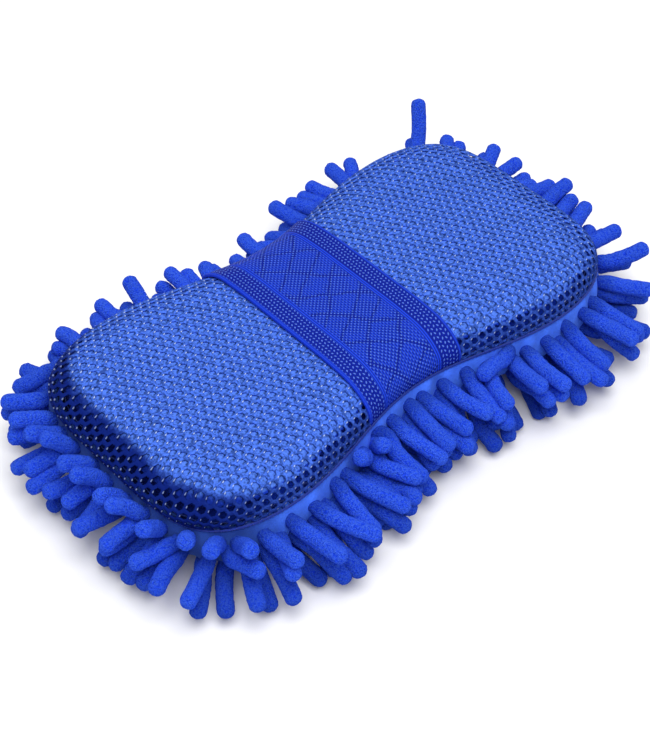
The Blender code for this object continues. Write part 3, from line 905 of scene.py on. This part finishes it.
def stitch_tree():
    """A cord along a closed line, and slanted stitches over it."""
    tree, given = new_tree("overlocked hem", [
        ("Cord", "NodeSocketFloat"), ("Stitch gap", "NodeSocketFloat"), ("Thread", "NodeSocketFloat"),
        ("Material", "NodeSocketMaterial")])
    line = add_node(tree, "GeometryNodeMeshToCurve", None, {"Mesh": given["Geometry"]})
    round_cord = add_node(tree, "GeometryNodeCurvePrimitiveCircle", None, {
        "Resolution": 8, "Radius": given["Cord"] * 0.5})
    cord = add_node(tree, "GeometryNodeCurveToMesh", None, {"Curve": line, "Profile Curve": round_cord})
    points = add_node(tree, "GeometryNodeCurveToPoints", {"mode": "LENGTH"}, {
        "Curve": line, "Length": given["Stitch gap"]}, "Points")
    loop_line = add_node(tree, "GeometryNodeCurvePrimitiveCircle", None, {
        "Resolution": 8, "Radius": given["Cord"] * 0.56})
    loop = add_node(tree, "GeometryNodeCurveToMesh", None, {
        "Curve": loop_line, "Profile Curve": add_node(tree, "GeometryNodeCurvePrimitiveCircle", None, {
            "Resolution": 3, "Radius": given["Thread"] * 0.5})})
    slanted = add_node(tree, "GeometryNodeTransform", None, {
        "Geometry": loop, "Rotation": (math.radians(38.0), 0.0, 0.0)})
    stitches = add_node(tree, "GeometryNodeInstanceOnPoints", None, {
        "Points": points, "Instance": slanted, "Rotation": points.other("Rotation")})
    both = add_node(tree, "GeometryNodeJoinGeometry", None, {0: stitches})
    tree.links.new(cord.socket, both.socket.node.inputs[0])
    close_tree(tree, both, given["Material"])
    return tree


# ---------------------------------------------------------------- foam, net and cloth

def make_foam(outline, settings, net):
    """A crowned foam block whose side stands back from the net."""
    shape = outline.shape
    around = FOAM_RING
    edge, out = outline.place(numpy.linspace(0.0, outline.total, around, endpoint=False))
    rings = []
    rise = TOP_HEIGHT - SEAM_HEIGHT - shape.crown
    top_edge = [math.radians(angle) for angle in (34, 42, 50, 58, 66, 74, 82, 90)]
    side = [
        (shape.bottom_radius + 0.012, BASE_HEIGHT + FOAM_LIFT),
        (shape.bottom_radius, BASE_HEIGHT + 0.0026),
        (shape.bottom_radius * 0.62, BASE_HEIGHT + 0.0052),
        (shape.bottom_radius * 0.42, BASE_HEIGHT + 0.0100),
        (0.0040, SEAM_HEIGHT - 0.006),
        (settings.set_back, SEAM_HEIGHT + 0.001),
        (settings.set_back + 0.0020, SEAM_HEIGHT + 0.0055),
        (settings.set_back + 0.0010, SEAM_HEIGHT + 0.0085),
    ]
    for inset, height in side:
        rings.append((inset, height))
    for angle in top_edge:
        inset = shape.edge_width * (1.0 - math.cos(angle)) + settings.gap * math.cos(angle) + 0.0003
        height = SEAM_HEIGHT + rise * math.sin(angle) - settings.gap * math.sin(angle)
        rings.append((inset, height + float(outline.crown_at(inset))))
    places = []
    for inset, height in rings:
        plan = edge - out * inset
        places.append(numpy.column_stack([plan, numpy.full(around, height)]))
    last = edge - out * rings[-1][0]
    shares = numpy.linspace(1.0, 0.04, 22)[1:]
    for share in shares:
        plan = last * share
        inside, _, _ = outline.nearest(plan)
        height = SEAM_HEIGHT + rise - settings.gap + outline.crown_at(inside)
        places.append(numpy.column_stack([plan, height]))
    bottom = []
    base = edge - out * rings[0][0]
    for share in numpy.linspace(0.04, 1.0, 6)[:-1]:
        bottom.append(numpy.column_stack([base * share, numpy.full(around, BASE_HEIGHT + FOAM_LIFT)]))
    places = bottom + places
    vertices = numpy.vstack(places)
    faces = ring_faces(len(places), around)
    low = len(vertices)
    vertices = numpy.vstack([vertices, [[0.0, 0.0, BASE_HEIGHT + FOAM_LIFT]], [[0.0, 0.0, vertices[-1][2]]]])
    final = (len(places) - 1) * around
    for step in range(around):
        after = (step + 1) % around
        faces.append((low, after, step))
        faces.append((low + 1, final + step, final + after))
    foam = new_object("foam_block", vertices, faces, foam_material(settings, net))
    inside, _, _ = outline.nearest(vertices[:, :2])
    inset = numpy.clip(inside, 0.0, shape.edge_width)
    travel = outline.edge_length - numpy.interp(inset, outline.edge_inset[::-1], outline.edge_travel[::-1])
    travel = numpy.where(inside > shape.edge_width, outline.rim_distance(inside), travel)
    store(foam.data, "rim", numpy.where(vertices[:, 2] > SEAM_HEIGHT + 0.008, travel, 0.0))
    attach(foam, "pad")
    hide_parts("foam_core")


def make_net(outline, settings):
    """The net, laid over the foam and down to the seam, with real holes."""
    pitch = settings.pitch
    row_gap = pitch * math.sqrt(3.0) / 2.0
    spare = outline.edge_length - outline.shape.edge_width
    columns = int((outline.shape.length / 2.0 + spare) / pitch) * 2 + 3
    rows = int((outline.shape.width / 2.0 + spare) / row_gap) * 2 + 3
    material = net_material(settings)
    net = grow("net_top", bpy.data.meshes.new("net seed"), net_tree(), {
        "Pitch": float(pitch), "Hole share": float(settings.hole), "Columns": int(columns),
        "Rows": int(rows), "Material": material})
    mesh = net.data
    flat = vertices_of(mesh)[:, :2]
    inside, _, _ = outline.nearest(flat)
    keep = inside > outline.shape.edge_width - outline.edge_length
    faces = []
    for polygon in mesh.polygons:
        corners = list(polygon.vertices)
        if all(keep[corner] for corner in corners):
            faces.append(corners)
    used = sorted({corner for face in faces for corner in face})
    number = {corner: place for place, corner in enumerate(used)}
    faces = [[number[corner] for corner in face] for face in faces]
    flat = flat[used]
    laid = outline.shell(flat)
    bpy.data.objects.remove(net)
    net = new_object("net_top", laid, faces, material)
    store(net.data, "flat", numpy.column_stack([flat, numpy.zeros(len(flat))]))
    store(net.data, "rim", outline.rim_distance(outline.nearest(flat)[0]))
    solid = net.modifiers.new("thickness", "SOLIDIFY")
    solid.thickness = settings.thickness
    solid.offset = -1.0
    apply_modifiers(net)
    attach(net, "pad")
    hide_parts("net_cover")
    cut = (outline.shape.length + 2.0 * spare, outline.shape.width + 2.0 * spare)
    open_area = cut[0] * cut[1] * (1.0 - settings.hole ** 2)


def make_hem(outline):
    """The overlocked edge of the net along the seam."""
    edge, out = outline.place(numpy.linspace(0.0, outline.total, HEM_STEPS, endpoint=False))
    places = numpy.column_stack([edge + out * 0.0002, numpy.full(HEM_STEPS, SEAM_HEIGHT + 0.0004)])
    mesh = bpy.data.meshes.new("hem line")
    links = [(step, (step + 1) % HEM_STEPS) for step in range(HEM_STEPS)]
    mesh.from_pydata([tuple(place) for place in places], links, [])
    material = thread_material("hem thread", (0.010, 0.040, 0.420))
    hem = grow("net_hem", mesh, stitch_tree(), {
        "Cord": HEM_CORD, "Stitch gap": HEM_STITCH_GAP, "Thread": HEM_THREAD, "Material": material})
    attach(hem, "pad")


def make_cloth(outline, settings):
    """The soft cloth from the seam round and under the pad, with its ripples."""
    around = CLOTH_RING
    along = numpy.linspace(0.0, outline.total, around, endpoint=False)
    edge, out = outline.place(along)
    random = numpy.random.default_rng(CLOTH_SEED)
    heights = [SEAM_HEIGHT + 0.0006]
    heights += list(numpy.linspace(SEAM_HEIGHT - 0.0004, BASE_HEIGHT + outline.shape.bottom_radius, 14))
    turn = numpy.linspace(0.0, math.pi / 2.0, 8)[1:]
    heights += list(BASE_HEIGHT + outline.shape.bottom_radius * (1.0 - numpy.sin(turn)))
    waves = numpy.zeros(around)
    for wave in range(24, 90, 3):
        phase = random.uniform(0.0, 2.0 * math.pi)
        waves += math.sqrt(1.0 / 22.0) * numpy.sin(2.0 * math.pi * wave * along / outline.total + phase)
    places = []
    for height in heights:
        inset = float(outline.wall_inset(height))
        if height > SEAM_HEIGHT:
            inset = 0.0012
        fade = min(1.0, max(0.0, (SEAM_HEIGHT - height) / 0.004))
        plan = edge - out * (inset - settings.ripple * fade * waves)[:, None]
        places.append(numpy.column_stack([plan, numpy.full(around, height)]))
    under = edge - out * float(outline.wall_inset(heights[-1]))
    for share in numpy.linspace(1.0, 0.03, 9)[1:]:
        places.append(numpy.column_stack([under * share, numpy.full(around, BASE_HEIGHT)]))
    vertices = numpy.vstack(places)
    faces = [tuple(reversed(face)) for face in ring_faces(len(places), around)]
    centre = len(vertices)
    vertices = numpy.vstack([vertices, [[0.0, 0.0, BASE_HEIGHT]]])
    final = (len(places) - 1) * around
    for step in range(around):
        faces.append((centre, final + (step + 1) % around, final + step))
    cloth = new_object("base_sheet", vertices, faces, cloth_material(settings))
    solid = cloth.modifiers.new("thickness", "SOLIDIFY")
    solid.thickness = settings.thickness
    solid.offset = -1.0
    apply_modifiers(cloth)
    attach(cloth, "pad")
    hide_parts("base_cloth")


# ---------------------------------------------------------------- chenille

def ring_layout(outline, settings):
    """Where the fingers round the pad start, where they point, and how long they are."""
    random = numpy.random.default_rng(settings.seed)
    roots = []
    headings = []
    lengths = []
    names = []
    for row, spread in ROWS:
        count = int(round(outline.total / (settings.pitch * spread)))
        offset = random.uniform(0.0, 1.0)
        for number in range(count):
            along = (number + offset + random.uniform(-0.20, 0.20)) * outline.total / count
            point, out = outline.place(along)
            depth, lift, lift_range, turn_range, stretch = row_habit(row, out)
            height = SEAM_HEIGHT - depth + random.uniform(-0.0010, 0.0010)
            spot = point - out * float(outline.wall_inset(height))
            turn = random.normal(0.0, math.radians(turn_range))
            tilt = math.radians(lift + random.normal(0.0, 1.0) * lift_range)
            roots.append([spot[0], spot[1], height])
            headings.append(heading(out, turn, min(max(tilt, LOWEST_TILT), HIGHEST_TILT)))
            lengths.append(settings.length * stretch * random.uniform(0.92, 1.08))
            names.append(f"{'upper' if row == 'middle' else row}_{side_of(outline, point)}")
    for x, side, depth, direction, length in ODD_FINGERS:
        point = outline.points[numpy.hypot(outline.points[:, 0] - x, outline.points[:, 1] - side).argmin()]
        roots.append([point[0], point[1], SEAM_HEIGHT - depth])
        headings.append(list(Vector(direction).normalized()))
        lengths.append(length)
        names.append(f"upper_{side_of(outline, point)}")
    return numpy.array(roots), numpy.array(headings), numpy.array(lengths), names


def heading(out, turn, tilt):
    """A direction turned sideways from the outward one and tilted up."""
    sideways = numpy.array([-out[1], out[0]])
    level = out * math.cos(turn) + sideways * math.sin(turn)
    return [level[0] * math.cos(tilt), level[1] * math.cos(tilt), math.sin(tilt)]


def row_habit(row, out):
    """How the fingers of a row stand on the side that faces out: depth below the seam in metres,
    lift, its spread and the sideways spread in degrees, and length as a share."""
    shares = [max(0.0, -out[1]) ** 2, max(0.0, out[1]) ** 2, max(0.0, -out[0]) ** 2, max(0.0, out[0]) ** 2]
    shares.append(4.0 * max(0.0, -0.80 * out[0] - 0.60 * out[1]) ** 14)
    shares = numpy.array(shares)
    habits = {
        "upper": (
            (0.0064, -1.0, 6.0, 7.0, 1.06), (0.0082, -9.0, 13.0, 14.0, 0.93),
            (0.0034, 34.0, 8.0, 10.0, 0.72), (0.0058, 4.0, 11.0, 12.0, 0.85),
            (0.0022, 62.0, 9.0, 16.0, 0.80)),
        "middle": (
            (0.0116, -10.0, 6.0, 12.0, 1.06), (0.0112, -16.0, 12.0, 14.0, 0.93),
            (0.0082, -4.0, 9.0, 14.0, 0.80), (0.0098, 6.0, 14.0, 16.0, 0.88),
            (0.0078, 22.0, 12.0, 18.0, 0.86)),
        "lower": (
            (0.0146, -14.0, 8.0, 10.0, 1.10), (0.0150, -14.0, 9.0, 12.0, 0.97),
            (0.0122, -4.0, 12.0, 13.0, 0.84), (0.0136, -8.0, 10.0, 12.0, 0.90),
            (0.0122, 0.0, 10.0, 13.0, 0.90)),
        "edge": (
            (0.0224, -6.0, 5.0, 12.0, 1.04), (0.0224, -6.0, 5.0, 12.0, 0.98),
            (0.0200, -9.0, 8.0, 13.0, 0.84), (0.0216, -6.0, 6.0, 12.0, 0.88),
            (0.0196, -14.0, 8.0, 13.0, 0.96)),
    }
    return (shares[:, None] * numpy.array(habits[row])).sum(axis=0) / shares.sum()


def side_of(outline, point):
    """Which side of the pad a point on its seam line belongs to."""
    if abs(point[0]) > outline.shape.length * 0.36:
        return "right" if point[0] > 0.0 else "left"
    return "rear" if point[1] > 0.0 else "front"


def settle(outline, roots, headings, lengths, radius, rounds):
    """Lets the fingers bend, push each other apart, rest on the floor and keep off the pad."""
    random = numpy.random.default_rng(CURL_SEED)
    joints = JOINTS
    count = len(roots)
    gap = (lengths / (joints - 1))[:, None]
    curl = random.normal(0.0, 0.10, (count, 3))
    shares = numpy.arange(joints)[None, :, None] / (joints - 1)
    bent = headings[:, None, :] + curl[:, None, :] * shares * 2.0
    bent /= numpy.linalg.norm(bent, axis=2)[..., None]
    chain = roots[:, None, :] + numpy.concatenate(
        [numpy.zeros((count, 1, 3)), numpy.cumsum(bent[:, :-1] * gap[..., None], axis=1)], axis=1)
    chain[:, 0] -= headings * 0.002
    memory = chain.copy()
    owner = numpy.repeat(numpy.arange(count), joints)
    pairs = None
    for step in range(rounds):
        chain[:, 2:, 2] -= SINK
        chain[:, 1:] += (memory[:, 1:] - chain[:, 1:]) * MEMORY
        flat = chain.reshape(-1, 3)
        if step % 8 == 0:
            pairs = close_pairs(flat, owner, radius * 2.0 + 0.003)
        first, second = pairs
        apart = flat[first] - flat[second]
        distance = numpy.linalg.norm(apart, axis=1) + 1e-9
        overlap = numpy.clip(radius * 1.94 - distance, 0.0, None)
        shove = apart / distance[:, None] * (overlap * 0.25)[:, None]
        numpy.add.at(flat, first, shove)
        numpy.add.at(flat, second, -shove)
        chain = flat.reshape(count, joints, 3)
        bend = chain[:, 2:] - chain[:, :-2]
        span = numpy.linalg.norm(bend, axis=2)[..., None]
        short = numpy.clip(gap[..., None] * 1.93 - span, 0.0, None)
        chain[:, 2:] += bend / (span + 1e-9) * short * 0.6
        chain = keep_off(outline, chain, radius)
        chain[:, 0] = memory[:, 0]
        for joint in range(1, joints):
            link = chain[:, joint] - chain[:, joint - 1]
            link /= numpy.linalg.norm(link, axis=1)[:, None] + 1e-9
            chain[:, joint] = chain[:, joint - 1] + link * gap
    return chain


def close_pairs(places, owner, reach):
    """Pairs of points on different fingers that are near each other."""
    firsts = []
    seconds = []
    for start in range(0, len(places), 500):
        some = places[start:start + 500]
        apart = ((some[:, None, :] - places[None, :, :]) ** 2).sum(axis=2)
        first, second = numpy.nonzero(apart < reach * reach)
        first = first + start
        keep = (first < second) & (owner[first] != owner[second])
        firsts.append(first[keep])
        seconds.append(second[keep])
    return numpy.concatenate(firsts), numpy.concatenate(seconds)


def keep_off(outline, chain, radius):
    """Moves points out of the floor and out of the pad."""
    flat = chain.reshape(-1, 3).copy()
    flat[:, 2] = numpy.maximum(flat[:, 2], radius)
    inside, _, normal = outline.nearest(flat[:, :2])
    limit = outline.wall_inset(flat[:, 2]) - radius * 0.92
    deep = numpy.clip(inside - limit, 0.0, 0.012)
    deep[flat[:, 2] < BASE_HEIGHT - 0.001] = 0.0
    flat[:, :2] += normal * deep[:, None]
    moved = flat.reshape(chain.shape)
    moved[:, :1] = chain[:, :1]
    return moved


def smooth_line(chain, stations):
    """Even points on a smooth curve through a finger's joints, closer together at the tip."""
    joints = len(chain)
    reach = numpy.linspace(0.0, 1.0, stations)
    reach = numpy.concatenate([reach[:-4], reach[-4] + (1.0 - reach[-4]) * numpy.sin(
        numpy.linspace(0.0, math.pi / 2.0, 8))])
    position = reach * (joints - 1)
    low = numpy.clip(numpy.floor(position).astype(int), 0, joints - 2)
    share = (position - low)[:, None]
    padded = numpy.vstack([2.0 * chain[0] - chain[1], chain, 2.0 * chain[-1] - chain[-2]])
    before, start, end, after = (padded[low + step] for step in range(4))
    return 0.5 * (
        2.0 * start + (end - before) * share
        + (2.0 * before - 5.0 * start + 4.0 * end - after) * share ** 2
        + (3.0 * start - before - 3.0 * end + after) * share ** 3), reach


def make_fingers(name, chains, tones, settings, tree, material, stations=26, sides=14):
    """One group of fingers from their settled lines."""
    places = []
    links = []
    girth = []
    along = []
    tone = []
    for chain, shade in zip(chains, tones):
        line, reach = smooth_line(chain, stations)
        length = numpy.linalg.norm(numpy.diff(line, axis=0), axis=1).sum()
        start = len(places)
        to_tip = (1.0 - reach) * length / (settings.width * 0.46)
        blunt = (1.0 - numpy.clip(1.0 - to_tip, 0.0, 1.0) ** 2.15) ** (1.0 / 2.15)
        neck = 0.72 + 0.28 * numpy.clip(reach * length / 0.006, 0.0, 1.0)
        for number, place in enumerate(line):
            places.append(tuple(place))
            girth.append(max(0.10, blunt[number] * neck[number] * (1.0 + 0.08 * (shade - 0.5))))
            along.append(reach[number])
            tone.append(shade)
            if number:
                links.append((start + number - 1, start + number))
    mesh = bpy.data.meshes.new(name + " lines")
    mesh.from_pydata(places, links, [])
    store(mesh, "girth", numpy.array(girth))
    store(mesh, "along", numpy.array(along))
    store(mesh, "tone", numpy.array(tone))
    group = grow(name, mesh, tree, {
        "Width": float(settings.width), "Pile": float(settings.pile), "Sides": int(sides),
        "Seed": 3.1, "Material": material})
    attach(group, "pad")
    return group


def base_lines(outline, settings):
    """Fingers under the pad, side by side and combed towards the two ends."""
    random = numpy.random.default_rng(settings.seed + 5)
    lane = settings.width + 0.0002
    pitch = BASE_PITCH
    radius = settings.width / 2.0
    chains = {}
    for side, way in (("left", -1.0), ("right", 1.0)):
        lanes = int(outline.shape.width / 2.0 / lane) + 1
        for number in range(-lanes, lanes + 1):
            y = number * lane
            shift = 0.5 * (number % 2)
            for step in range(BASE_ROWS):
                x = 0.003 + (step + shift) * pitch
                root = numpy.array([way * x, y])
                far = numpy.array([way * (x + 0.010), y])
                inside, _, _ = outline.nearest(numpy.array([root, far]))
                if min(inside) < BASE_MARGIN:
                    continue
                yaw = random.normal(0.0, 0.035)
                travel = numpy.linspace(0.0, pitch - 0.0010, 8)
                drop = BASE_HEIGHT - (BASE_HEIGHT - radius) * numpy.clip(travel / 0.006, 0.0, 1.0) ** 0.7
                line = numpy.column_stack([
                    way * (x + travel), y + numpy.sin(travel * 110.0 + random.uniform(0.0, 6.0)) * 0.0003
                    + travel * yaw, drop + 0.0001])
                chains.setdefault(f"base_{side}", []).append(line)
    return chains


def make_chenille(outline, settings):
    """All the chenille fingers, in one group for each row and side."""
    material = chenille_material(settings)
    tree = finger_tree()
    roots, headings, lengths, names = ring_layout(outline, settings)
    radius = settings.width / 2.0
    rounds = FULL_ROUNDS
    chains = settle(outline, roots, headings, lengths, radius * 0.95, rounds)
    random = numpy.random.default_rng(TONE_SEED)
    tones = random.uniform(0.0, 1.0, len(chains))
    for row in ("upper", "lower", "edge"):
        for side in SIDES:
            chosen = [number for number, name in enumerate(names) if name == f"{row}_{side}"]
            group = make_fingers(
                f"fingers_{row}_{side}", chains[chosen], tones[chosen], settings, tree, material)
            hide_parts(f"chenille_{row}_{side}")
    for name, lines in base_lines(outline, settings).items():
        shades = random.uniform(0.2, 1.0, len(lines))
        group = make_fingers(f"fingers_{name}", numpy.array(lines), shades, settings, tree, material, 20, 12)
        side = name.split("_")[1]
        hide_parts(*[node for node in frame["nodes"] if node.startswith(f"chenille_base_{side}")])


# ---------------------------------------------------------------- strap

def make_strap(outline, settings):
    """The elastic strap, from the seam on one side over the top to the seam on the other."""
    shape = outline.shape
    columns = STRAP_COLUMNS
    half = settings.width / 2.0
    across = numpy.linspace(-1.0, 1.0, columns)
    across = half * numpy.sign(across) * (1.0 - (1.0 - numpy.abs(across)) ** 1.25)
    rise = TOP_HEIGHT - SEAM_HEIGHT - shape.crown
    front = outline.points[outline.points[:, 1] < 0.0]
    order = front[:, 0].argsort()
    outer = []
    inner = []
    weave = []
    for x in across:
        reach = -numpy.interp(x + settings.offset, front[order, 0], front[order, 1])
        angles = numpy.linspace(math.radians(5.0), math.pi / 2.0, STRAP_SIDE_STEPS)
        tucked = STRAP_TUCK * numpy.exp(-((angles - angles[0]) / 0.30) ** 2)
        inset = shape.edge_width * (1.0 - numpy.cos(angles)) + tucked
        climb = rise * numpy.sin(angles)
        low_side = numpy.column_stack([-(reach - inset), SEAM_HEIGHT + climb])
        low_normal = numpy.column_stack([-numpy.cos(angles), numpy.sin(angles)])
        flat = numpy.linspace(-(reach - shape.edge_width), reach - shape.edge_width, STRAP_TOP_STEPS)[1:-1]
        top = numpy.column_stack([flat, numpy.full(len(flat), SEAM_HEIGHT + rise)])
        top_normal = numpy.column_stack([numpy.zeros(len(flat)), numpy.ones(len(flat))])
        path = numpy.vstack([low_side, top, low_side[::-1] * [-1.0, 1.0]])
        normal = numpy.vstack([low_normal, top_normal, low_normal[::-1] * [-1.0, 1.0]])
        path[:, 1] += outline.crown_at(reach - numpy.abs(path[:, 0]))
        edge = abs(x) / half
        selvage = 0.5 + 0.5 * min(1.0, (1.0 - edge) * half / 0.0006)
        selvage *= 1.0 + 0.18 * math.exp(-(((1.0 - edge) * half - 0.0008) / 0.0006) ** 2)
        middle = settings.clearance + settings.thickness / 2.0
        above = path + normal * (middle + settings.thickness / 2.0 * selvage)
        below = path + normal * (middle - settings.thickness / 2.0 * selvage)
        steps = numpy.linalg.norm(numpy.diff(path, axis=0), axis=1)
        travelled = numpy.concatenate([[0.0], numpy.cumsum(steps)])
        travelled -= travelled[-1] / 2.0
        column = numpy.full(len(path), x)
        outer.append(numpy.column_stack([column + settings.offset, above]))
        inner.append(numpy.column_stack([column + settings.offset, below]))
        weave.append(numpy.column_stack([travelled, column, numpy.zeros(len(path))]))
    length = len(outer[0])
    loop = outer + inner[::-1]
    marks = weave + weave[::-1]
    vertices = numpy.vstack(loop)
    faces = ring_faces(len(loop), length, cyclic=False)
    first = (len(loop) - 1) * length
    for step in range(length - 1):
        faces.append((first + step, first + step + 1, step + 1, step))
    for end in (0, length - 1):
        rim = [number * length + end for number in range(len(loop))]
        for number in range(columns - 1):
            quad = (rim[number], rim[number + 1], rim[len(loop) - 2 - number], rim[len(loop) - 1 - number])
            faces.append(quad if end == 0 else tuple(reversed(quad)))
    strap = new_object("hand_strap", vertices, faces, strap_material(settings))
    store(strap.data, "weave", numpy.vstack(marks))
    face_outwards(strap)
    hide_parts("strap_band", "strap_side_front", "strap_side_rear")
    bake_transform(strap)


def face_outwards(piece):
    """Turns a closed mesh's faces outwards."""
    shell = bmesh.new()
    shell.from_mesh(piece.data)
    bmesh.ops.recalc_face_normals(shell, faces=shell.faces)
    shell.to_mesh(piece.data)
    shell.free()


def finish_sewing(cloth_settings):
    """Gives the sewn parts inside the seam their finishes."""
    thread = thread_material("sewing thread", (0.020, 0.060, 0.450))
    cloth = cloth_material(cloth_settings)
    for name in frame["nodes"]:
        if name.startswith("seam_thread") or name.startswith("strap_tack"):
            give(name, thread)
        if name.startswith("seam_allowance"):
            give(name, cloth)
        if name.startswith("strap_end"):
            give(name, bpy.data.materials["woven elastic"])


def give(name, material):
    """Puts a material in every slot of a carried-over part."""
    piece = bpy.data.objects[name]
    for place in piece.material_slots:
        place.material = material


# ---------------------------------------------------------------- stage

def make_stage(settings):
    """The floor, the lights and the camera."""
    floor = new_object(
        "floor", [(-3.0, -3.0, 0.0), (3.0, -3.0, 0.0), (3.0, 3.0, 0.0), (-3.0, 3.0, 0.0)], [(0, 1, 2, 3)],
        floor_material(settings.floor_colour))
    world = bpy.data.worlds.new("pale room")
    bpy.context.scene.world = world
    world.use_nodes = True
    world.node_tree.nodes["Background"].inputs["Color"].default_value = (1.0, 1.0, 1.0, 1.0)
    world.node_tree.nodes["Background"].inputs["Strength"].default_value = 0.40
    add_light("soft key", (-0.25, -0.40, 1.20), 1.0, 15.5)
    add_light("far fill", (0.55, 0.80, 0.90), 0.8, 3.0)
    bpy.context.scene.view_settings.view_transform = "Standard"
    azimuth = settings.azimuth
    elevation = settings.elevation
    back = Vector((
        math.sin(azimuth) * math.cos(elevation), -math.cos(azimuth) * math.cos(elevation),
        math.sin(elevation)))
    right = Vector((math.cos(azimuth), math.sin(azimuth), 0.0))
    above = back.cross(right)
    middle = Vector((0.0, 0.0, SEAM_HEIGHT))
    target = middle + right * settings.aim_right + above * settings.aim_up
    data = bpy.data.cameras.new("camera")
    data.lens = settings.lens
    data.sensor_width = 36.0
    data.clip_start = 0.01
    camera = bpy.data.objects.new("camera", data)
    camera.location = middle + back * settings.distance
    camera.rotation_mode = "QUATERNION"
    camera.rotation_quaternion = (target - camera.location).to_track_quat("-Z", "Y")
    bpy.context.scene.collection.objects.link(camera)
    bpy.context.scene.camera = camera


def add_light(name, place, size, power):
    """A round area light turned to the pad."""
    data = bpy.data.lights.new(name, "AREA")
    data.shape = "DISK"
    data.size = size
    data.energy = power
    light = bpy.data.objects.new(name, data)
    light.location = place
    light.rotation_mode = "QUATERNION"
    light.rotation_quaternion = (Vector((0.0, 0.0, 0.03)) - Vector(place)).to_track_quat("-Z", "Y")
    bpy.context.scene.collection.objects.link(light)


# ---------------------------------------------------------------- operators and panel

class WASHPAD_OT_stage(bpy.types.Operator):
    """Sets up the floor, the lights and the camera"""

    bl_idname = "washpad.stage"
    bl_label = "Stage"

    def execute(self, context):
        make_stage(context.scene.washpad_stage)
        return {"FINISHED"}


class WASHPAD_OT_foam(bpy.types.Operator):
    """Makes the foam block"""

    bl_idname = "washpad.foam"
    bl_label = "Foam block"

    def execute(self, context):
        scene = context.scene
        make_foam(Outline(scene.washpad_shape), scene.washpad_foam, scene.washpad_net)
        return {"FINISHED"}


class WASHPAD_OT_net(bpy.types.Operator):
    """Makes the net over the foam block"""

    bl_idname = "washpad.net"
    bl_label = "Net"

    def execute(self, context):
        scene = context.scene
        make_net(Outline(scene.washpad_shape), scene.washpad_net)
        return {"FINISHED"}


class WASHPAD_OT_hem(bpy.types.Operator):
    """Makes the net's stitched hem"""

    bl_idname = "washpad.hem"
    bl_label = "Net hem"

    def execute(self, context):
        make_hem(Outline(context.scene.washpad_shape))
        return {"FINISHED"}


class WASHPAD_OT_cloth(bpy.types.Operator):
    """Makes the cloth that carries the fingers"""

    bl_idname = "washpad.cloth"
    bl_label = "Cloth"

    def execute(self, context):
        make_cloth(Outline(context.scene.washpad_shape), context.scene.washpad_cloth)
        return {"FINISHED"}


class WASHPAD_OT_chenille(bpy.types.Operator):
    """Makes the chenille fingers"""

    bl_idname = "washpad.chenille"
    bl_label = "Chenille fingers"

    def execute(self, context):
        make_chenille(Outline(context.scene.washpad_shape), context.scene.washpad_chenille)
        return {"FINISHED"}


class WASHPAD_OT_strap(bpy.types.Operator):
    """Makes the elastic hand strap"""

    bl_idname = "washpad.strap"
    bl_label = "Hand strap"

    def execute(self, context):
        make_strap(Outline(context.scene.washpad_shape), context.scene.washpad_strap)
        return {"FINISHED"}


class WASHPAD_OT_sewing(bpy.types.Operator):
    """Gives the sewn parts inside the seam their finishes"""

    bl_idname = "washpad.sewing"
    bl_label = "Sewn parts"

    def execute(self, context):
        finish_sewing(context.scene.washpad_cloth)
        return {"FINISHED"}


class WASHPAD_PT_panel(bpy.types.Panel):
    """Lists the pieces of the wash pad"""

    bl_idname = "WASHPAD_PT_panel"
    bl_label = "Wash pad"
    bl_space_type = "VIEW_3D"
    bl_region_type = "UI"
    bl_category = "Wash pad"

    def draw(self, context):
        layout = self.layout
        for operator in OPERATORS:
            layout.operator(operator.bl_idname)
        for name, settings in SETTINGS:
            group = getattr(context.scene, name)
            box = layout.box()
            box.label(text=settings.__doc__)
            for key in settings.__annotations__:
                box.prop(group, key)


SETTINGS = (
    ("washpad_shape", PadShape), ("washpad_net", NetSettings), ("washpad_foam", FoamSettings),
    ("washpad_cloth", ClothSettings), ("washpad_chenille", ChenilleSettings),
    ("washpad_strap", StrapSettings), ("washpad_stage", StageSettings),
)
OPERATORS = (
    WASHPAD_OT_stage, WASHPAD_OT_foam, WASHPAD_OT_net, WASHPAD_OT_hem, WASHPAD_OT_cloth,
    WASHPAD_OT_chenille, WASHPAD_OT_strap, WASHPAD_OT_sewing,
)


def register():
    for name, settings in SETTINGS:
        bpy.utils.register_class(settings)
        setattr(bpy.types.Scene, name, bpy.props.PointerProperty(type=settings))
    for operator in OPERATORS:
        bpy.utils.register_class(operator)
    bpy.utils.register_class(WASHPAD_PT_panel)


def unregister():
    bpy.utils.unregister_class(WASHPAD_PT_panel)
    for operator in reversed(OPERATORS):
        bpy.utils.unregister_class(operator)
    for name, settings in reversed(SETTINGS):
        delattr(bpy.types.Scene, name)
        bpy.utils.unregister_class(settings)


def main():
    register()
    bpy.ops.washpad.stage()
    bpy.ops.washpad.foam()
    bpy.ops.washpad.net()
    bpy.ops.washpad.hem()
    bpy.ops.washpad.cloth()
    bpy.ops.washpad.chenille()
    bpy.ops.washpad.strap()
    bpy.ops.washpad.sewing()


if __name__ == "__main__":
    main()
